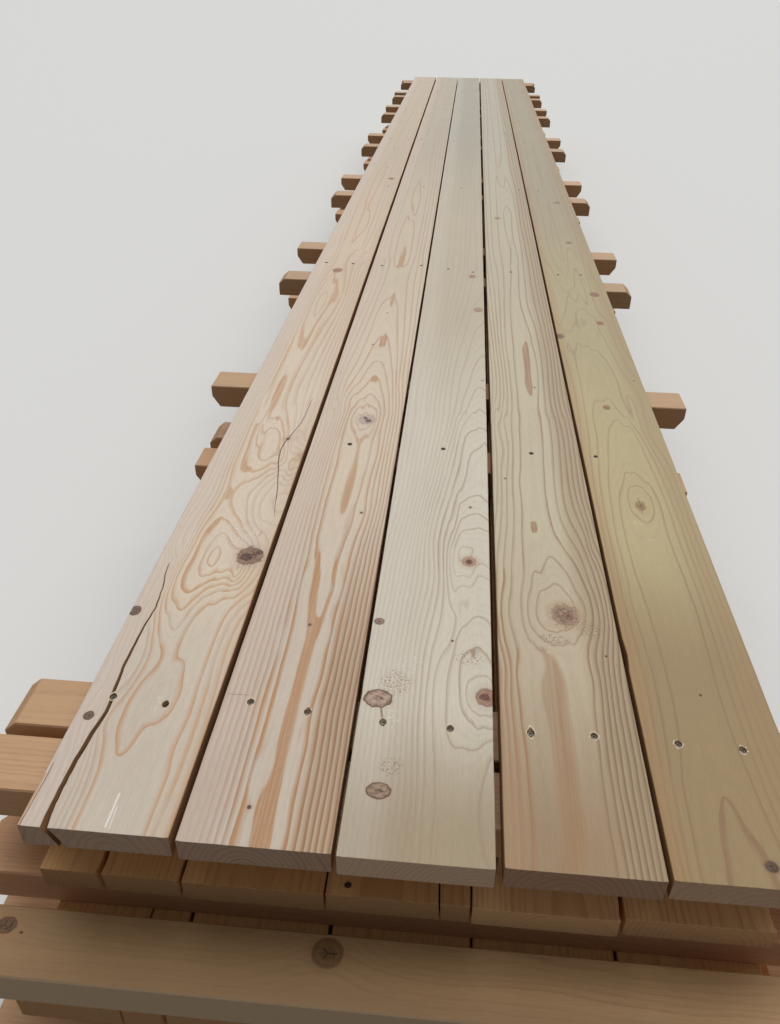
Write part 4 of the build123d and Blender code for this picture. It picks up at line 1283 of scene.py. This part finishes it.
def islands(node):
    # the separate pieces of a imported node: low corner, high corner, and whether the top corners are the sawn ones
    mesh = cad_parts[node].data
    spots = {}
    parent = list(range(len(mesh.vertices)))

    def find(i):
        while parent[i] != i:
            parent[i] = parent[parent[i]]
            i = parent[i]
        return i
    for v in mesh.vertices:
        first = spots.setdefault(tuple(round(c, 5) for c in v.co), v.index)
        parent[find(v.index)] = find(first)
    for p in mesh.polygons:
        for a, b in zip(p.vertices, p.vertices[1:]):
            parent[find(a)] = find(b)
    groups = {}
    for v in mesh.vertices:
        groups.setdefault(find(v.index), []).append(v.co)
    out = []
    for points in groups.values():
        low, high = ([pick(p[k] for p in points) for k in range(3)] for pick in (min, max))
        topEnd = max(p[0] for p in points if p[2] > high[2] - 3 * mm)
        out.append((low, high, topEnd < high[0] - 10 * mm))
    return sorted(out)


def battenOutline(long, tall, up, seed):
    s = battenForm
    saw, high, share = s["along"], s["up" if up else "down"], s["sideEase"]

    def wander(a, side):
        wave = s["wave"] * abs(smoothNoise(a / s["waveLong"], seed + side))
        return s["in"] + wave + s["ripple"] * abs(smoothNoise(a / s["rippleLong"], seed + side + 4))
    n = s["count"]
    lower = [(1.6 + (long - 3.2) * k / (n + 2), wander(k * 40.0, 1), 1.0) for k in range(n + 3)]
    inner = [saw + 1.5 + (long - 2 * saw - 3) * k / n for k in range(n, -1, -1)]
    upper = [(a, tall - wander(a, 2), 1.0) for a in inner]
    side = [(0.5, 1.6), (0.4, tall * 0.3), (0.5, tall - high - 1.5), (1.1, tall - high + 0.5),
            (saw * 0.5 + 0.2, tall - high * 0.5 - 0.2), (saw - 0.6, tall - 0.9)]
    rightSide = [(long - a, b, share) for a, b in side]
    leftSide = [(a, b, share) for a, b in reversed(side)]
    points = lower + rightSide + upper + leftSide
    return points if up else [(a, tall - b, ease) for a, b, ease in reversed(points)]


def addBattens():
    rng = random.Random(23)
    material = wood("battenWood", battenWood)
    frontMaterial = wood("frontBatten", frontBatten)
    for row in range(1, 9):
        node = "batten_row_%d" % row
        store, grains, looks = ([], []), [], []
        pieces = islands(node)
        front = min(low[1] for low, high, up in pieces)
        for index, (low, high, up) in enumerate(pieces):
            long, deep, tall = ((high[k] - low[k]) / mm for k in range(3))
            shape, sides = prism(battenOutline(long, tall, up, row * 10 + index), deep, battenForm["ease"])
            vertices = [(low[0] + a * mm, high[1] - c * mm, low[2] + b * mm) for a, b, c in shape]
            if row == 1 and low[1] == front:
                alone = makeObject("front_batten", vertices, sides, frontMaterial, "batten")
                writeGrain(alone.data, [(c, a, b - tall) for a, b, c in shape], [(0.5, 0.5, 3.0)] * len(shape))
                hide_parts(node)
                continue
            joinTo(store, vertices, sides)
            pithU, pithH = rng.uniform(-60, 60), rng.uniform(-60, 70)
            lower = high[2] < cadBox[1][2] - 100 * mm      # under the top panels, where shade falls
            # the shaded lower battens lean to the paler, redder earlyToo: painted bounce light
            look = (0.5 * rng.random() + (0.5 if lower else 0.0), rng.random(), rng.uniform(0, 8))
            grains += [(c - deep / 2 - pithU, a, b - pithH) for a, b, c in shape]
            looks += [look] * len(shape)
        obj = makeObject("battens_%d" % row, *store, material, "batten")
        writeGrain(obj.data, grains, looks)
        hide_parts(node)


addBattens()
print("battens")
